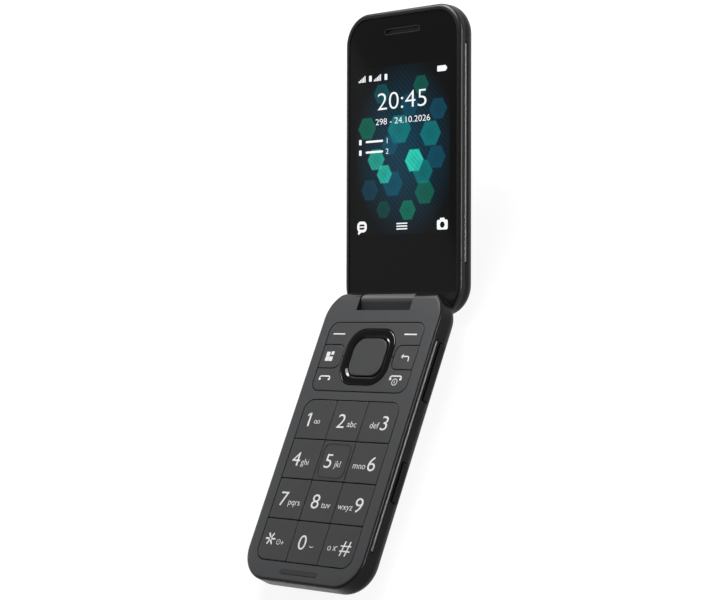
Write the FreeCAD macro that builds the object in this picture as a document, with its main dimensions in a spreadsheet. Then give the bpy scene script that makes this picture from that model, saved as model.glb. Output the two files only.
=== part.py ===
import FreeCAD, Part
import math
import os

# A flip phone, lying open on its back.
# X is the width, Y runs from the keypad's foot to the hinge, Z points out of the keypad.
# The origin is the middle of the base's back face. The lid is drawn shut and then turned open.

# Driving sizes in millimetres, and the opening angle in degrees
SIZES = {
    # Closed phone
    "body_width": 55.0,
    "body_length": 108.0,
    "base_height": 10.0,
    "lid_height": 8.6,
    "lid_gap": 0.3,
    "plan_corner": 11.0,
    "base_back_round": 4.5,
    "lid_back_round": 5.0,
    "face_round": 1.2,
    "side_wall": 1.5,
    "open_angle": 155.0,
    # Clearances, and how far a cutting tool runs past what it cuts
    "key_gap": 0.3,
    "part_gap": 0.2,
    "fit_gap": 0.05,
    "overcut": 1.0,
    # Hinge
    "hinge_depth": 4.0,
    "hinge_gap": 0.3,
    "shoulder_width": 15.1,
    "knuckle_facet": 3.0,
    "hinge_bore": 1.9,
    "hinge_pin_radius": 1.2,
    "hinge_pin_reach": 3.0,
    "hinge_pipe_wall": 0.4,
    "shoulder_bore_depth": 7.5,
    "shoulder_length": 9.5,
    "cartridge_from_middle": 1.4,
    "cartridge_wall": 0.3,
    "spring_end_room": 5.0,
    "flex_width": 2.0,
    "flex_thickness": 0.3,
    # Base shells and layers
    "front_frame_height": 1.8,
    "deck_low": 1.4,
    "deck_height": 1.0,
    "board_thickness": 0.8,
    "board_from_face": 3.7,
    "board_gap": 1.2,
    "dome_thickness": 0.2,
    "mat_thickness": 0.6,
    "mat_margin": 0.5,
    "key_height": 1.7,
    "key_edge": 0.25,
    "boss_radius": 1.6,
    "screw_radius": 0.7,
    "screw_depth": 3.2,
    "screw_head_radius": 1.2,
    "screw_head_height": 0.7,
    "base_screw_from_side": 3.5,
    "base_screw_from_hinge": 14.5,
    "base_screw_from_foot": 25.5,
    "groove_height": 1.1,
    "groove_depth": 0.6,
    "groove_from_foot": 14.0,
    "groove_from_hinge": 18.0,
    # Battery side
    "cover_from_side": 9.0,
    "cover_from_hinge": 14.0,
    "cover_from_foot": 5.5,
    "cover_thickness": 1.2,
    "cover_corner": 4.5,
    "speaker_slot_length": 7.5,
    "speaker_slot_width": 1.3,
    "speaker_slot_drop": 12.7,
    "battery_inset": 1.5,
    "battery_from_sim": 4.0,
    "battery_under_board": 0.5,
    "battery_corner": 2.0,
    "battery_from_speaker": 1.3,
    "contact_width": 1.2,
    "contact_pitch": 3.0,
    "contact_length": 1.8,
    # Pieces on the board
    "speaker_width": 14.0,
    "speaker_length": 10.0,
    "speaker_under_board": 0.9,
    "can_height": 1.6,
    "can_width": 16.0,
    "can_length": 8.0,
    "can_x": -2.0,
    "can_from_hinge": 15.5,
    "motor_radius": 4.0,
    "motor_over_deck": 1.1,
    "motor_from_side": 15.0,
    "sim_width": 24.0,
    "sim_length": 12.0,
    "sim_from_foot": 11.0,
    "mic_width": 3.5,
    "mic_length": 2.6,
    "mic_height": 1.0,
    "switch_depth": 1.6,
    "switch_length": 3.4,
    "switch_height": 2.0,
    # Keypad
    "pad_from_side": 5.3,
    "pad_from_foot": 7.0,
    "pad_from_cluster": 3.6,
    "number_pad_corner": 4.0,
    "cluster_length": 26.0,
    "cluster_from_hinge": 12.8,
    "cluster_corner": 3.5,
    "ring_length": 21.0,
    "ring_corner": 7.0,
    "ring_height": 0.8,
    "carrier_height": 0.5,
    "ring_band": 3.5,
    "ok_corner": 4.5,
    "small_key_from_ring": 1.3,
    "small_key_length": 8.8,
    "small_key_corner": 2.5,
    "bumper_length": 17.0,
    "bumper_width": 1.6,
    "bumper_depth": 0.9,
    "bumper_proud": 0.15,
    "bumper_from_foot": 3.6,
    # Side keys and sockets
    "volume_length": 21.0,
    "volume_from_hinge": 29.0,
    "emergency_length": 13.8,
    "emergency_from_foot": 39.3,
    "side_key_height": 2.6,
    "side_key_proud": 0.5,
    "side_key_depth": 2.3,
    "side_key_corner": 0.6,
    "side_from_face": 5.1,
    "jack_from_hinge": 29.1,
    "jack_radius": 1.75,
    "jack_length": 12.0,
    "jack_wall": 0.4,
    "usb_from_foot": 16.2,
    "usb_width": 7.6,
    "usb_height": 2.7,
    "usb_depth": 5.5,
    "usb_wall": 0.4,
    # Lid
    "inner_frame_height": 2.2,
    "inner_window_rim": 2.0,
    "inner_window_from_hinge": 8.5,
    "inner_window_corner": 9.0,
    "inner_window_thickness": 1.0,
    "window_drop": 0.3,
    "main_display_side": 2.75,
    "main_display_above": 16.25,
    "main_display_thickness": 1.8,
    "main_display_below": 19.75,
    "lid_board_level": 3.6,
    "lid_board_from_side": 7.5,
    "lid_board_from_end": 17.3,
    "earpiece_slot_length": 16.0,
    "earpiece_slot_width": 1.6,
    "earpiece_from_end": 7.5,
    "earpiece_width": 12.0,
    "earpiece_length": 7.0,
    "earpiece_height": 2.4,
    "mesh_drop": 0.4,
    "magnet_side": 4.0,
    "magnet_height": 1.5,
    "magnet_from_side": 10.5,
    "outer_face": 1.5,
    "outer_window_from_side": 7.3,
    "outer_window_from_hinge": 6.1,
    "outer_window_from_end": 6.3,
    "outer_window_corner": 6.5,
    "outer_window_thickness": 0.9,
    "outer_display_side": 4.7,
    "outer_display_length": 39.0,
    "outer_display_thickness": 1.6,
    "outer_display_from_end": 48.2,
    "sensor_hole_radius": 0.6,
    "sensor_hole_from_side": 6.9,
    "sensor_hole_from_end": 14.4,
    "camera_plate_inset": 2.8,
    "camera_plate_length": 10.4,
    "camera_plate_proud": 0.25,
    "camera_plate_from_hinge": 13.7,
    "camera_radius": 3.0,
    "camera_lens_height": 0.8,
    "camera_barrel_radius": 2.4,
    "camera_module_side": 7.0,
    "camera_module_height": 2.0,
    "flash_inset": 1.0,
    "flash_width": 6.0,
    "flash_length": 3.9,
    "lid_screw_from_side": 4.5,
    "lid_screw_from_hinge": 24.0,
    "lid_screw_from_end": 16.0,
}

doc = FreeCAD.newDocument("flip_phone")
sheet = doc.addObject("Spreadsheet::Sheet", "Sizes")
NODES = []


class Size:
    """A length that carries its spreadsheet formula beside its value."""

    def __init__(self, text, value):
        self.text = text
        self.value = value

    def __add__(self, other):
        return join(self, "+", other)

    def __radd__(self, other):
        return join(other, "+", self)

    def __sub__(self, other):
        return join(self, "-", other)

    def __rsub__(self, other):
        return join(other, "-", self)

    def __mul__(self, other):
        return join(self, "*", other)

    def __rmul__(self, other):
        return join(other, "*", self)

    def __truediv__(self, other):
        return join(self, "/", other)

    def __neg__(self):
        return join(0.0, "-", self)


def as_size(value):
    """Turn a plain number into a Size."""
    if isinstance(value, Size):
        return value
    return Size(repr(float(value)), float(value))


def join(left, sign, right):
    """Combine two sizes into a new formula with its value."""
    left, right = as_size(left), as_size(right)
    work = {
        "+": lambda a, b: a + b,
        "-": lambda a, b: a - b,
        "*": lambda a, b: a * b,
        "/": lambda a, b: a / b,
    }
    return Size(f"({left.text} {sign} {right.text})", work[sign](left.value, right.value))


class Sheet:
    """Fills the spreadsheet and gives each aliased cell as a Size."""

    def __init__(self):
        for row, (alias, value) in enumerate(SIZES.items(), start=1):
            sheet.set(f"A{row}", alias)
            sheet.set(f"B{row}", str(value))
            sheet.setAlias(f"B{row}", alias)
            setattr(self, alias, Size(f"Sizes.{alias}", value))


s = Sheet()
doc.recompute()


def bind(feature, prop, size):
    """Bind a property to a spreadsheet formula."""
    feature.setExpression(prop, as_size(size).text)


def about(centre, width):
    """Bounds of a width that is centred on a place."""
    return centre - width / 2, centre + width / 2


def mid(bounds):
    """Middle of two bounds."""
    return (bounds[0] + bounds[1]) / 2


def grow(bounds, gap):
    """Bounds moved out by a gap at both ends."""
    return bounds[0] - gap, bounds[1] + gap


def up(low, height):
    """Bounds that start at a level and rise by a height."""
    return low, low + height


def bind_block(feature, place, x, y, z):
    """Bind a block's sides and its low corner."""
    for prop, bounds in zip(("Length", "Width", "Height"), (x, y, z)):
        bind(feature, prop, bounds[1] - bounds[0])
    for axis, bounds in zip("xyz", (x, y, z)):
        bind(feature, f"{place}.Base.{axis}", bounds[0])


def box(name, x, y, z):
    """A plain block between bounds on each axis."""
    feature = doc.addObject("Part::Box", name)
    bind_block(feature, "Placement", x, y, z)
    return feature


TURNS = {
    "X": FreeCAD.Rotation(FreeCAD.Vector(0, 1, 0), 90),
    "Z": FreeCAD.Rotation(),
}


def rod(name, axis, start, radius, length):
    """A cylinder along an axis from its start point."""
    feature = doc.addObject("Part::Cylinder", name)
    feature.Placement = FreeCAD.Placement(FreeCAD.Vector(), TURNS[axis])
    bind(feature, "Radius", radius)
    bind(feature, "Height", length)
    for letter, place in zip("xyz", start):
        bind(feature, f"Placement.Base.{letter}", place)
    return feature


def post(name, place, radius, z):
    """An upright cylinder over a place in the plan."""
    return rod(name, "Z", (place[0], place[1], z[0]), radius, z[1] - z[0])


def is_upright(edge):
    """True for an edge that climbs along Z."""
    return abs(edge.Vertexes[0].Z - edge.Vertexes[-1].Z) > 1e-6


def stands_over(vertex, place):
    """True where a vertex stands over a place in the plan."""
    return math.hypot(vertex.X - as_size(place[0]).value, vertex.Y - as_size(place[1]).value) < 1e-4


def fillet(body, name, radius, wanted):
    """Round the wanted edges of a body's last feature."""
    doc.recompute()
    tip = body.Tip
    edges = [f"Edge{i}" for i, edge in enumerate(tip.Shape.Edges, start=1) if wanted(edge)]
    feature = body.newObject("PartDesign::Fillet", name)
    feature.Base = (tip, edges)
    bind(feature, "Radius", radius)


def round_corners(body, radius, corners):
    """Round a slab's upright edges, all of them or those over the given corners."""

    def wanted(edge):
        if not is_upright(edge):
            return False
        return corners is None or any(stands_over(edge.Vertexes[0], place) for place in corners)

    fillet(body, f"{body.Name}_corners", radius, wanted)


def round_rim(body, name, radius, level):
    """Round the rim of a slab that lies at a level."""

    def wanted(edge):
        return all(abs(vertex.Z - as_size(level).value) < 1e-4 for vertex in edge.Vertexes)

    fillet(body, f"{body.Name}_{name}", radius, wanted)


def attach(body, feature):
    """Attach a feature to its body's ground plane."""
    plane = [item for item in body.Origin.OriginFeatures if item.Role == "XY_Plane"][0]
    feature.AttachmentSupport = [(plane, "")]
    feature.MapMode = "FlatFace"


def slab(name, x, y, z, corner=None, corners=None, top=None, foot=None):
    """A block with rounded upright corners and, where given, a rounded top or foot rim."""
    body = doc.addObject("PartDesign::Body", name)
    block = body.newObject("PartDesign::AdditiveBox", f"{name}_block")
    attach(body, block)
    bind_block(block, "AttachmentOffset", x, y, z)
    if corner is not None:
        round_corners(body, corner, corners)
    if top is not None:
        round_rim(body, "top", top, z[1])
    if foot is not None:
        round_rim(body, "foot", foot, z[0])
    return body


def disc(name, place, radius, z):
    """An upright round slab over a place in the plan."""
    body = doc.addObject("PartDesign::Body", name)
    plug = body.newObject("PartDesign::AdditiveCylinder", f"{name}_plug")
    attach(body, plug)
    bind(plug, "Radius", radius)
    bind(plug, "Height", z[1] - z[0])
    for letter, start in zip("xyz", (place[0], place[1], z[0])):
        bind(plug, f"AttachmentOffset.Base.{letter}", start)
    return body


def fuse(name, shapes):
    """One shape from several."""
    if len(shapes) == 1:
        return shapes[0]
    feature = doc.addObject("Part::MultiFuse", name)
    feature.Shapes = shapes
    feature.Refine = True
    return feature


def cut(name, base, tools):
    """A shape less its tools."""
    feature = doc.addObject("Part::Cut", name)
    feature.Base = base
    feature.Tool = fuse(f"{name}_tools", tools)
    feature.Refine = True
    return feature


def common(name, one, other):
    """What two shapes share."""
    feature = doc.addObject("Part::Common", name)
    feature.Base = one
    feature.Tool = other
    feature.Refine = True
    return feature


def group(name, shapes):
    """Separate solids kept in one node."""
    feature = doc.addObject("Part::Compound", name)
    feature.Links = shapes
    return feature


def node(feature, label, on_lid=False):
    """Name a finished sub-part and, on the lid, turn it open."""
    feature.Label = label
    if on_lid:
        feature.Placement = open_placement()
    NODES.append(feature)


# Levels and lines that several pieces share

half_width = s.body_width / 2
foot_end = -s.body_length / 2
hinge_end = s.body_length / 2
hinge_y = hinge_end - s.hinge_depth
hinge_z = s.base_height - s.hinge_depth
full_x = about(0.0, s.body_width)
full_y = (foot_end, hinge_end)

front_low = s.base_height - s.front_frame_height
deck_top = s.deck_low + s.deck_height
board_level = s.base_height - s.board_from_face
board_top = board_level + s.board_thickness
dome_top = board_top + s.dome_thickness
mat_top = dome_top + s.mat_thickness
key_low = s.base_height - s.key_height
cavity_x = grow(full_x, -s.side_wall)
cavity_y = (foot_end + s.side_wall, hinge_end - s.shoulder_length)
cavity_corner = s.plan_corner - s.side_wall

knuckle_x = grow(full_x, -s.shoulder_width)
knuckle_length = s.body_width - 2 * s.shoulder_width
knuckle_radius = s.hinge_depth - s.hinge_gap
notch_x = grow(knuckle_x, s.hinge_gap)
notch_y = (hinge_y - s.hinge_depth, hinge_end + s.overcut)
pipe_radius = s.hinge_bore - 2 * s.fit_gap
pipe_end = notch_x[0] - s.shoulder_bore_depth
flex_end = pipe_end - s.flex_width
flex_meet = -s.flex_width / 2
pin_length = s.shoulder_bore_depth + s.hinge_pin_reach
cartridge_length = knuckle_length / 2 - s.cartridge_from_middle
spring_length = cartridge_length - s.spring_end_room

lid_low = s.base_height + s.lid_gap
lid_top = lid_low + s.lid_height
lid_split = lid_low + s.inner_frame_height
window_z = up(lid_low + s.window_drop, s.inner_window_thickness)
lid_board_z = up(lid_low + s.lid_board_level, s.board_thickness)
lid_cavity_top = lid_top - s.outer_face
outer_window_z = (lid_top - s.outer_window_thickness, lid_top)
outer_window_x = grow(full_x, -s.outer_window_from_side)
outer_window_y = (foot_end + s.outer_window_from_end, hinge_end - s.outer_window_from_hinge)
outer_display_x = grow(outer_window_x, -s.outer_display_side)
outer_display_y = about(foot_end + s.outer_display_from_end, s.outer_display_length)
inner_window_x = grow(full_x, -s.inner_window_rim)
inner_window_y = (foot_end + s.inner_window_rim, hinge_end - s.inner_window_from_hinge)
main_display_x = grow(inner_window_x, -s.main_display_side)
main_display_y = (inner_window_y[0] + s.main_display_above, inner_window_y[1] - s.main_display_below)
lid_board_y = (
    foot_end + s.lid_board_from_end,
    hinge_end - s.side_wall - s.board_gap - s.hinge_depth,
)
earpiece_y = foot_end + s.earpiece_from_end
camera_plate_x = grow(outer_window_x, -s.camera_plate_inset)
camera_plate_y = about(hinge_end - s.camera_plate_from_hinge, s.camera_plate_length)
camera_place = (camera_plate_x[0] + s.camera_plate_length / 2, mid(camera_plate_y))
flash_place = (-camera_place[0] - s.flash_inset, mid(camera_plate_y))

cluster_top = hinge_end - s.cluster_from_hinge
cluster_y = (cluster_top - s.cluster_length, cluster_top)
cluster_mid = mid(cluster_y)
pad_x = grow(full_x, -s.pad_from_side)
pad_y = (foot_end + s.pad_from_foot, cluster_y[0] - s.pad_from_cluster)
pad_width = pad_x[1] - pad_x[0]
number_key_width = pad_width / 3
number_key_length = (pad_y[1] - pad_y[0]) / 4
ring_x = about(0.0, pad_width / 2)
ring_y = about(cluster_mid, s.ring_length)
ok_x = grow(ring_x, -s.ring_band)
ok_y = grow(ring_y, -s.ring_band)
small_key_width = pad_width / 4 - s.small_key_from_ring
bumper_y = about(foot_end + s.bumper_from_foot, s.bumper_width)
key_z = (key_low, s.base_height)
through_keys_z = grow(key_z, s.overcut)

cover_x = grow(full_x, -s.cover_from_side)
cover_y = (foot_end + s.cover_from_foot, hinge_end - s.cover_from_hinge)
speaker_mid = cover_y[1] - s.speaker_slot_drop
speaker_y = about(speaker_mid, s.speaker_length)
sim_y = about(foot_end + s.sim_from_foot, s.sim_length)
can_y = about(hinge_end - s.can_from_hinge, s.can_length)
battery_x = grow(cover_x, -s.battery_inset)
battery_y = (sim_y[1] + s.battery_from_sim, speaker_y[0] - s.battery_from_speaker)
battery_z = (s.deck_low + s.part_gap, board_level - s.battery_under_board)
side_level = s.base_height - s.side_from_face
side_key_z = about(side_level, s.side_key_height)
volume_y = about(hinge_end - s.volume_from_hinge, s.volume_length)
emergency_y = about(foot_end + s.emergency_from_foot, s.emergency_length)
jack_mid = hinge_end - s.jack_from_hinge
jack_y = about(jack_mid, 2 * (s.jack_radius + s.jack_wall))
usb_y = about(foot_end + s.usb_from_foot, s.usb_width)
usb_z = (board_level - s.usb_wall - s.usb_height, board_level - s.usb_wall)


def four_places(from_side, from_foot, from_hinge):
    """Two places on each side of the middle line."""
    reach = half_width - from_side
    return [(x, y) for x in (-reach, reach) for y in (foot_end + from_foot, hinge_end - from_hinge)]


base_screws = four_places(s.base_screw_from_side, s.base_screw_from_foot, s.base_screw_from_hinge)
lid_screws = four_places(s.lid_screw_from_side, s.lid_screw_from_end, s.lid_screw_from_hinge)


def open_turn():
    """The lid's turn from shut to open."""
    return FreeCAD.Rotation(FreeCAD.Vector(1, 0, 0), -s.open_angle.value)


def open_placement():
    """The turn about the hinge axis that opens the lid to its rest pose."""
    centre = FreeCAD.Vector(0, hinge_y.value, hinge_z.value)
    return FreeCAD.Placement(FreeCAD.Vector(), open_turn(), centre)


def on_hinge(name, start_x, radius, length):
    """A rod on the hinge axis."""
    return rod(name, "X", (start_x, hinge_y, hinge_z), radius, length)


def keypad_tool(name, x, y, corner, gap, z=through_keys_z):
    """A rounded cutting slab at the keypad, grown by a gap."""
    return slab(name, grow(x, gap), grow(y, gap), z, corner=corner + gap)


# Base shells


def open_relief(name):
    """Everything past the open lid's inner face, which the base leaves clear."""
    reach = 4 * s.hinge_depth
    feature = doc.addObject("Part::Box", f"{name}_relief")
    bind(feature, "Length", s.body_width + 2 * s.overcut)
    bind(feature, "Width", 2 * reach)
    bind(feature, "Height", reach)
    corner = open_turn().multVec(FreeCAD.Vector(0, -reach.value, s.hinge_depth.value))
    axis = FreeCAD.Vector(full_x[0].value - s.overcut.value, hinge_y.value, hinge_z.value)
    feature.Placement = FreeCAD.Placement(axis + corner, open_turn())
    return feature


def base_form(name):
    """Outer form of the base: a rounded slab whose hinge end is round about the hinge axis."""
    plan = slab(
        f"{name}_plan",
        full_x,
        full_y,
        (0.0, s.base_height),
        corner=s.plan_corner,
        top=s.face_round,
        foot=s.base_back_round,
    )
    wide_x = grow(full_x, s.overcut)
    reach = s.hinge_depth * Size("sin(Sizes.open_angle * 1 deg)", math.sin(math.radians(s.open_angle.value)))
    stem = box(f"{name}_stem", wide_x, (foot_end, hinge_y), (0.0, s.base_height))
    heel = box(f"{name}_heel", wide_x, (hinge_y, hinge_y + reach), (0.0, hinge_z))
    barrel = on_hinge(f"{name}_barrel", wide_x[0], s.hinge_depth, s.body_width + 2 * s.overcut)
    side = fuse(f"{name}_side", [stem, heel, barrel])
    return cut(f"{name}_form", common(f"{name}_outer", plan, side), [open_relief(name)])


def notch(name):
    """The gap in the base's hinge end that takes the lid's knuckle."""
    return box(f"{name}_notch", notch_x, notch_y, (-s.overcut, s.base_height + s.overcut))


def side_slot(name, y, z):
    """A hole through the right side wall for a key, with its running gap."""
    x = (cavity_x[1] - s.overcut, half_width + s.overcut)
    return box(name, x, grow(y, s.key_gap), grow(z, s.key_gap))


def side_grooves(name, z):
    """The long shallow groove in each side, next to the seam."""
    y = (foot_end + s.groove_from_foot, hinge_end - s.groove_from_hinge)
    right = box(f"{name}_groove_right", (half_width - s.groove_depth, half_width + s.overcut), y, z)
    left = box(f"{name}_groove_left", (-half_width - s.overcut, -half_width + s.groove_depth), y, z)
    return [right, left]


def rear_shell_hollows():
    """The rear shell's cavity, its cover recess, battery bay, speaker window and open top."""
    foot_corners = [(cavity_x[0], cavity_y[0]), (cavity_x[1], cavity_y[0])]
    cavity_z = (deck_top, front_low + s.overcut)
    deck_z = (s.deck_low - s.overcut, deck_top + s.overcut)
    recess_z = (-s.overcut, s.deck_low)
    top_z = (front_low, s.base_height + s.overcut)
    return [
        box("rear_top", grow(full_x, s.overcut), grow(full_y, s.overcut), top_z),
        slab("rear_cavity", cavity_x, cavity_y, cavity_z, corner=cavity_corner, corners=foot_corners),
        slab(
            "rear_recess",
            grow(cover_x, s.part_gap),
            grow(cover_y, s.part_gap),
            recess_z,
            corner=s.cover_corner + s.part_gap,
        ),
        box("rear_bay", grow(battery_x, s.part_gap), grow(battery_y, s.part_gap), deck_z),
        box(
            "rear_speaker",
            about(0.0, s.speaker_slot_length),
            about(speaker_mid, s.speaker_length / 2),
            deck_z,
        ),
        notch("rear"),
    ]


def rear_shell_holes():
    """The rear shell's hinge bores, key slots and sockets."""
    bore_length = s.shoulder_bore_depth + s.overcut
    jack_start = (-half_width - s.overcut, jack_mid, side_level)
    usb_x = (-half_width - s.overcut, cavity_x[0] + s.overcut)
    flex_x = (flex_end - s.part_gap, pipe_end + s.part_gap)
    flex_z = about(hinge_z, 2 * pipe_radius)
    return [
        on_hinge("rear_pin_bore", notch_x[1] - s.overcut, s.hinge_pin_radius + s.fit_gap, bore_length),
        on_hinge("rear_pipe_bore", pipe_end, pipe_radius + s.fit_gap, bore_length),
        box("rear_flex_way", flex_x, (cavity_y[1] - s.overcut, hinge_y + pipe_radius), flex_z),
        side_slot("rear_volume_slot", volume_y, side_key_z),
        side_slot("rear_emergency_slot", emergency_y, side_key_z),
        rod("rear_jack_hole", "X", jack_start, s.jack_radius, s.side_wall + 2 * s.overcut),
        box("rear_usb_hole", usb_x, usb_y, usb_z),
    ]


def make_rear_shell():
    """The base's back shell with its board posts."""
    groove_z = (front_low - s.groove_height, front_low + s.overcut)
    tools = rear_shell_hollows() + rear_shell_holes() + side_grooves("rear", groove_z)
    shell = cut("rear_hollow", base_form("rear"), tools)
    posts = []
    holes = []
    for i, place in enumerate(base_screws):
        posts.append(post(f"rear_post_{i}", place, s.boss_radius, (deck_top - s.deck_height, board_level)))
        hole_z = (board_level - s.screw_depth, board_level + s.overcut)
        holes.append(post(f"rear_post_hole_{i}", place, s.screw_radius + s.fit_gap, hole_z))
    node(cut("base_rear_shell", fuse("rear_with_posts", [shell] + posts), holes), "base_rear_shell")


def make_front_frame():
    """The base's front frame with its two key openings."""
    tools = [
        box("front_under", grow(full_x, s.overcut), grow(full_y, s.overcut), (-s.overcut, front_low)),
        keypad_tool("front_pad_hole", pad_x, pad_y, s.number_pad_corner, s.key_gap),
        keypad_tool("front_cluster_hole", pad_x, cluster_y, s.cluster_corner, s.key_gap),
        keypad_tool(
            "front_bumper_slot",
            about(0.0, s.bumper_length),
            bumper_y,
            s.bumper_width / 2 - s.fit_gap,
            s.fit_gap,
            z=(s.base_height - s.bumper_depth, s.base_height + s.overcut),
        ),
        notch("front"),
    ]
    node(cut("base_front_frame", base_form("front"), tools), "base_front_frame")


def make_bumper():
    """The soft strip under the keypad that the shut lid comes down on."""
    z = (s.base_height - s.bumper_depth, s.base_height + s.bumper_proud)
    x = about(0.0, s.bumper_length)
    node(slab("front_bumper", x, bumper_y, z, corner=s.bumper_width / 2 - s.fit_gap), "front_bumper")


# Battery side


def make_battery_cover():
    """The back panel with the loudspeaker's slot."""
    z = (0.0, s.cover_thickness)
    panel = slab("cover_panel", cover_x, cover_y, z, corner=s.cover_corner)
    slot = slab(
        "cover_slot",
        about(0.0, s.speaker_slot_length),
        about(speaker_mid, s.speaker_slot_width),
        grow(z, s.overcut),
        corner=s.speaker_slot_width / 2 - s.fit_gap,
    )
    node(cut("battery_cover", panel, [slot]), "battery_cover")


def make_battery():
    """The battery and the three sprung contacts at its foot."""
    node(slab("battery", battery_x, battery_y, battery_z, corner=s.battery_corner), "battery")
    y = (battery_y[0] - s.part_gap - s.contact_length, battery_y[0] - s.part_gap)
    contacts = []
    for i in (-1, 0, 1):
        x = about(i * s.contact_pitch, s.contact_width)
        contacts.append(box(f"contact_{i + 1}", x, y, (mid(battery_z), board_level)))
    node(group("battery_contacts", contacts), "battery_contacts")


# Board and what it carries


def make_board():
    """The main board, cut out round the headphone socket and drilled for its screws."""
    x = grow(cavity_x, -s.board_gap)
    y = (cavity_y[0] + s.board_gap, cavity_y[1] - s.board_gap)
    z = (board_level, board_top)
    corners = [(x[0], y[0]), (x[1], y[0])]
    plate = slab("board_plate", x, y, z, corner=cavity_corner - s.board_gap, corners=corners)
    tools = [
        box(
            "board_jack_gap",
            (x[0] - s.overcut, cavity_x[0] + s.jack_length + s.part_gap),
            grow(jack_y, s.part_gap),
            grow(z, s.overcut),
        )
    ]
    for i, place in enumerate(base_screws):
        tools.append(post(f"board_hole_{i}", place, s.screw_radius + s.fit_gap, grow(z, s.overcut)))
    node(cut("main_board", plate, tools), "main_board")


def make_base_screws():
    """The four screws that hold the board down on its posts."""
    screws = []
    for i, place in enumerate(base_screws):
        shank = post(f"base_shank_{i}", place, s.screw_radius, (board_level - s.screw_depth, board_top))
        head = post(f"base_head_{i}", place, s.screw_head_radius, up(board_top, s.screw_head_height))
        screws.append(fuse(f"base_screw_{i}", [shank, head]))
    node(group("base_screws", screws), "base_screws")


def make_keypad_layers():
    """The dome sheet on the board and the soft mat that carries the keys."""
    x = grow(pad_x, s.mat_margin)
    y = (pad_y[0] - s.mat_margin, cluster_y[1] + s.mat_margin)
    node(slab("dome_sheet", x, y, (board_top, dome_top), corner=s.number_pad_corner), "dome_sheet")
    node(slab("keypad_mat", x, y, (dome_top, mat_top), corner=s.number_pad_corner), "keypad_mat")


def under_board(height):
    """Bounds of a piece that hangs under the board."""
    return board_level - height, board_level


def make_board_pieces():
    """Shield can, SIM holder, vibration motor and microphone."""
    can_x = about(s.can_x, s.can_width)
    node(box("shield_can", can_x, can_y, under_board(s.can_height)), "shield_can")
    node(box("sim_holder", about(0.0, s.sim_width), sim_y, under_board(s.can_height)), "sim_holder")
    motor_place = (half_width - s.motor_from_side, mid(can_y))
    motor_z = (deck_top + s.motor_over_deck, board_level)
    motor = post("vibration_motor", motor_place, s.motor_radius, motor_z)
    node(motor, "vibration_motor")
    mic_y = about(mid(bumper_y), s.mic_length)
    node(box("microphone", about(0.0, s.mic_width), mic_y, up(board_top, s.mic_height)), "microphone")
    speaker_z = (deck_top, board_level - s.speaker_under_board)
    speaker = box("loudspeaker", about(0.0, s.speaker_width), speaker_y, speaker_z)
    node(speaker, "loudspeaker")


def make_side_switches():
    """The three small switches behind the side keys."""
    outer = half_width + s.side_key_proud - s.side_key_depth - s.key_gap - s.part_gap
    quarter = s.volume_length / 4
    places = [mid(volume_y) - quarter, mid(volume_y) + quarter, mid(emergency_y)]
    switches = []
    for i, y in enumerate(places):
        x = (outer - s.switch_depth, outer)
        switches.append(box(f"switch_{i}", x, about(y, s.switch_length), under_board(s.switch_height)))
    node(group("side_switches", switches), "side_switches")


def make_headphone_socket():
    """The headphone socket behind the left side wall."""
    x = up(cavity_x[0], s.jack_length)
    z = about(side_level, 2 * (s.jack_radius + s.jack_wall))
    body = box("jack_body", x, jack_y, z)
    start = (cavity_x[0] - s.overcut, jack_mid, side_level)
    bore = rod("jack_bore", "X", start, s.jack_radius, s.jack_length + s.overcut - s.side_wall)
    node(cut("headphone_socket", body, [bore]), "headphone_socket")


def make_usb_socket():
    """The charging socket, open at the left side."""
    x = up(cavity_x[0], s.usb_depth)
    shell = box("usb_shell", x, grow(usb_y, s.usb_wall), grow(usb_z, s.usb_wall))
    mouth = box("usb_mouth", (x[0] - s.overcut, x[1] - s.usb_wall), usb_y, usb_z)
    node(cut("usb_socket", shell, [mouth]), "usb_socket")


# Keys

NUMBER_KEYS = [
    ["key_1", "key_2", "key_3"],
    ["key_4", "key_5", "key_6"],
    ["key_7", "key_8", "key_9"],
    ["key_star", "key_0", "key_hash"],
]


def make_number_keys():
    """Twelve keys with thin gaps; the four at the pad's corners follow its rounded outline."""
    pad_corners = [(x, y) for x in pad_x for y in pad_y]
    for row, names in enumerate(NUMBER_KEYS):
        for column, name in enumerate(names):
            x = up(pad_x[0] + column * number_key_width, number_key_width)
            y = up(pad_y[1] - (row + 1) * number_key_length, number_key_length)
            x = (x[0] + (column > 0) * s.key_gap / 2, x[1] - (column < 2) * s.key_gap / 2)
            y = (y[0] + (row < 3) * s.key_gap / 2, y[1] - (row > 0) * s.key_gap / 2)
            at_corner = row in (0, 3) and column in (0, 2)
            corner = s.number_pad_corner if at_corner else None
            node(slab(name, x, y, key_z, corner=corner, corners=pad_corners, top=s.key_edge), name)


def small_key(name, side, gap=None):
    """The key at the left (-1) or right (1) of the ring, or the tool that clears it."""
    outer = side * pad_x[1]
    inner = outer - side * small_key_width
    x = (outer, inner) if side < 0 else (inner, outer)
    y = about(cluster_mid, s.small_key_length)
    if gap is None:
        places = [(inner, y[0]), (inner, y[1])]
        return slab(name, x, y, key_z, corner=s.small_key_corner, corners=places, top=s.key_edge)
    x = (x[0] - s.overcut, x[1] + gap) if side < 0 else (x[0] - gap, x[1] + s.overcut)
    y = grow(y, gap)
    inner = x[1] if side < 0 else x[0]
    places = [(inner, y[0]), (inner, y[1])]
    return slab(name, x, y, through_keys_z, corner=s.small_key_corner + gap, corners=places)


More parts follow.
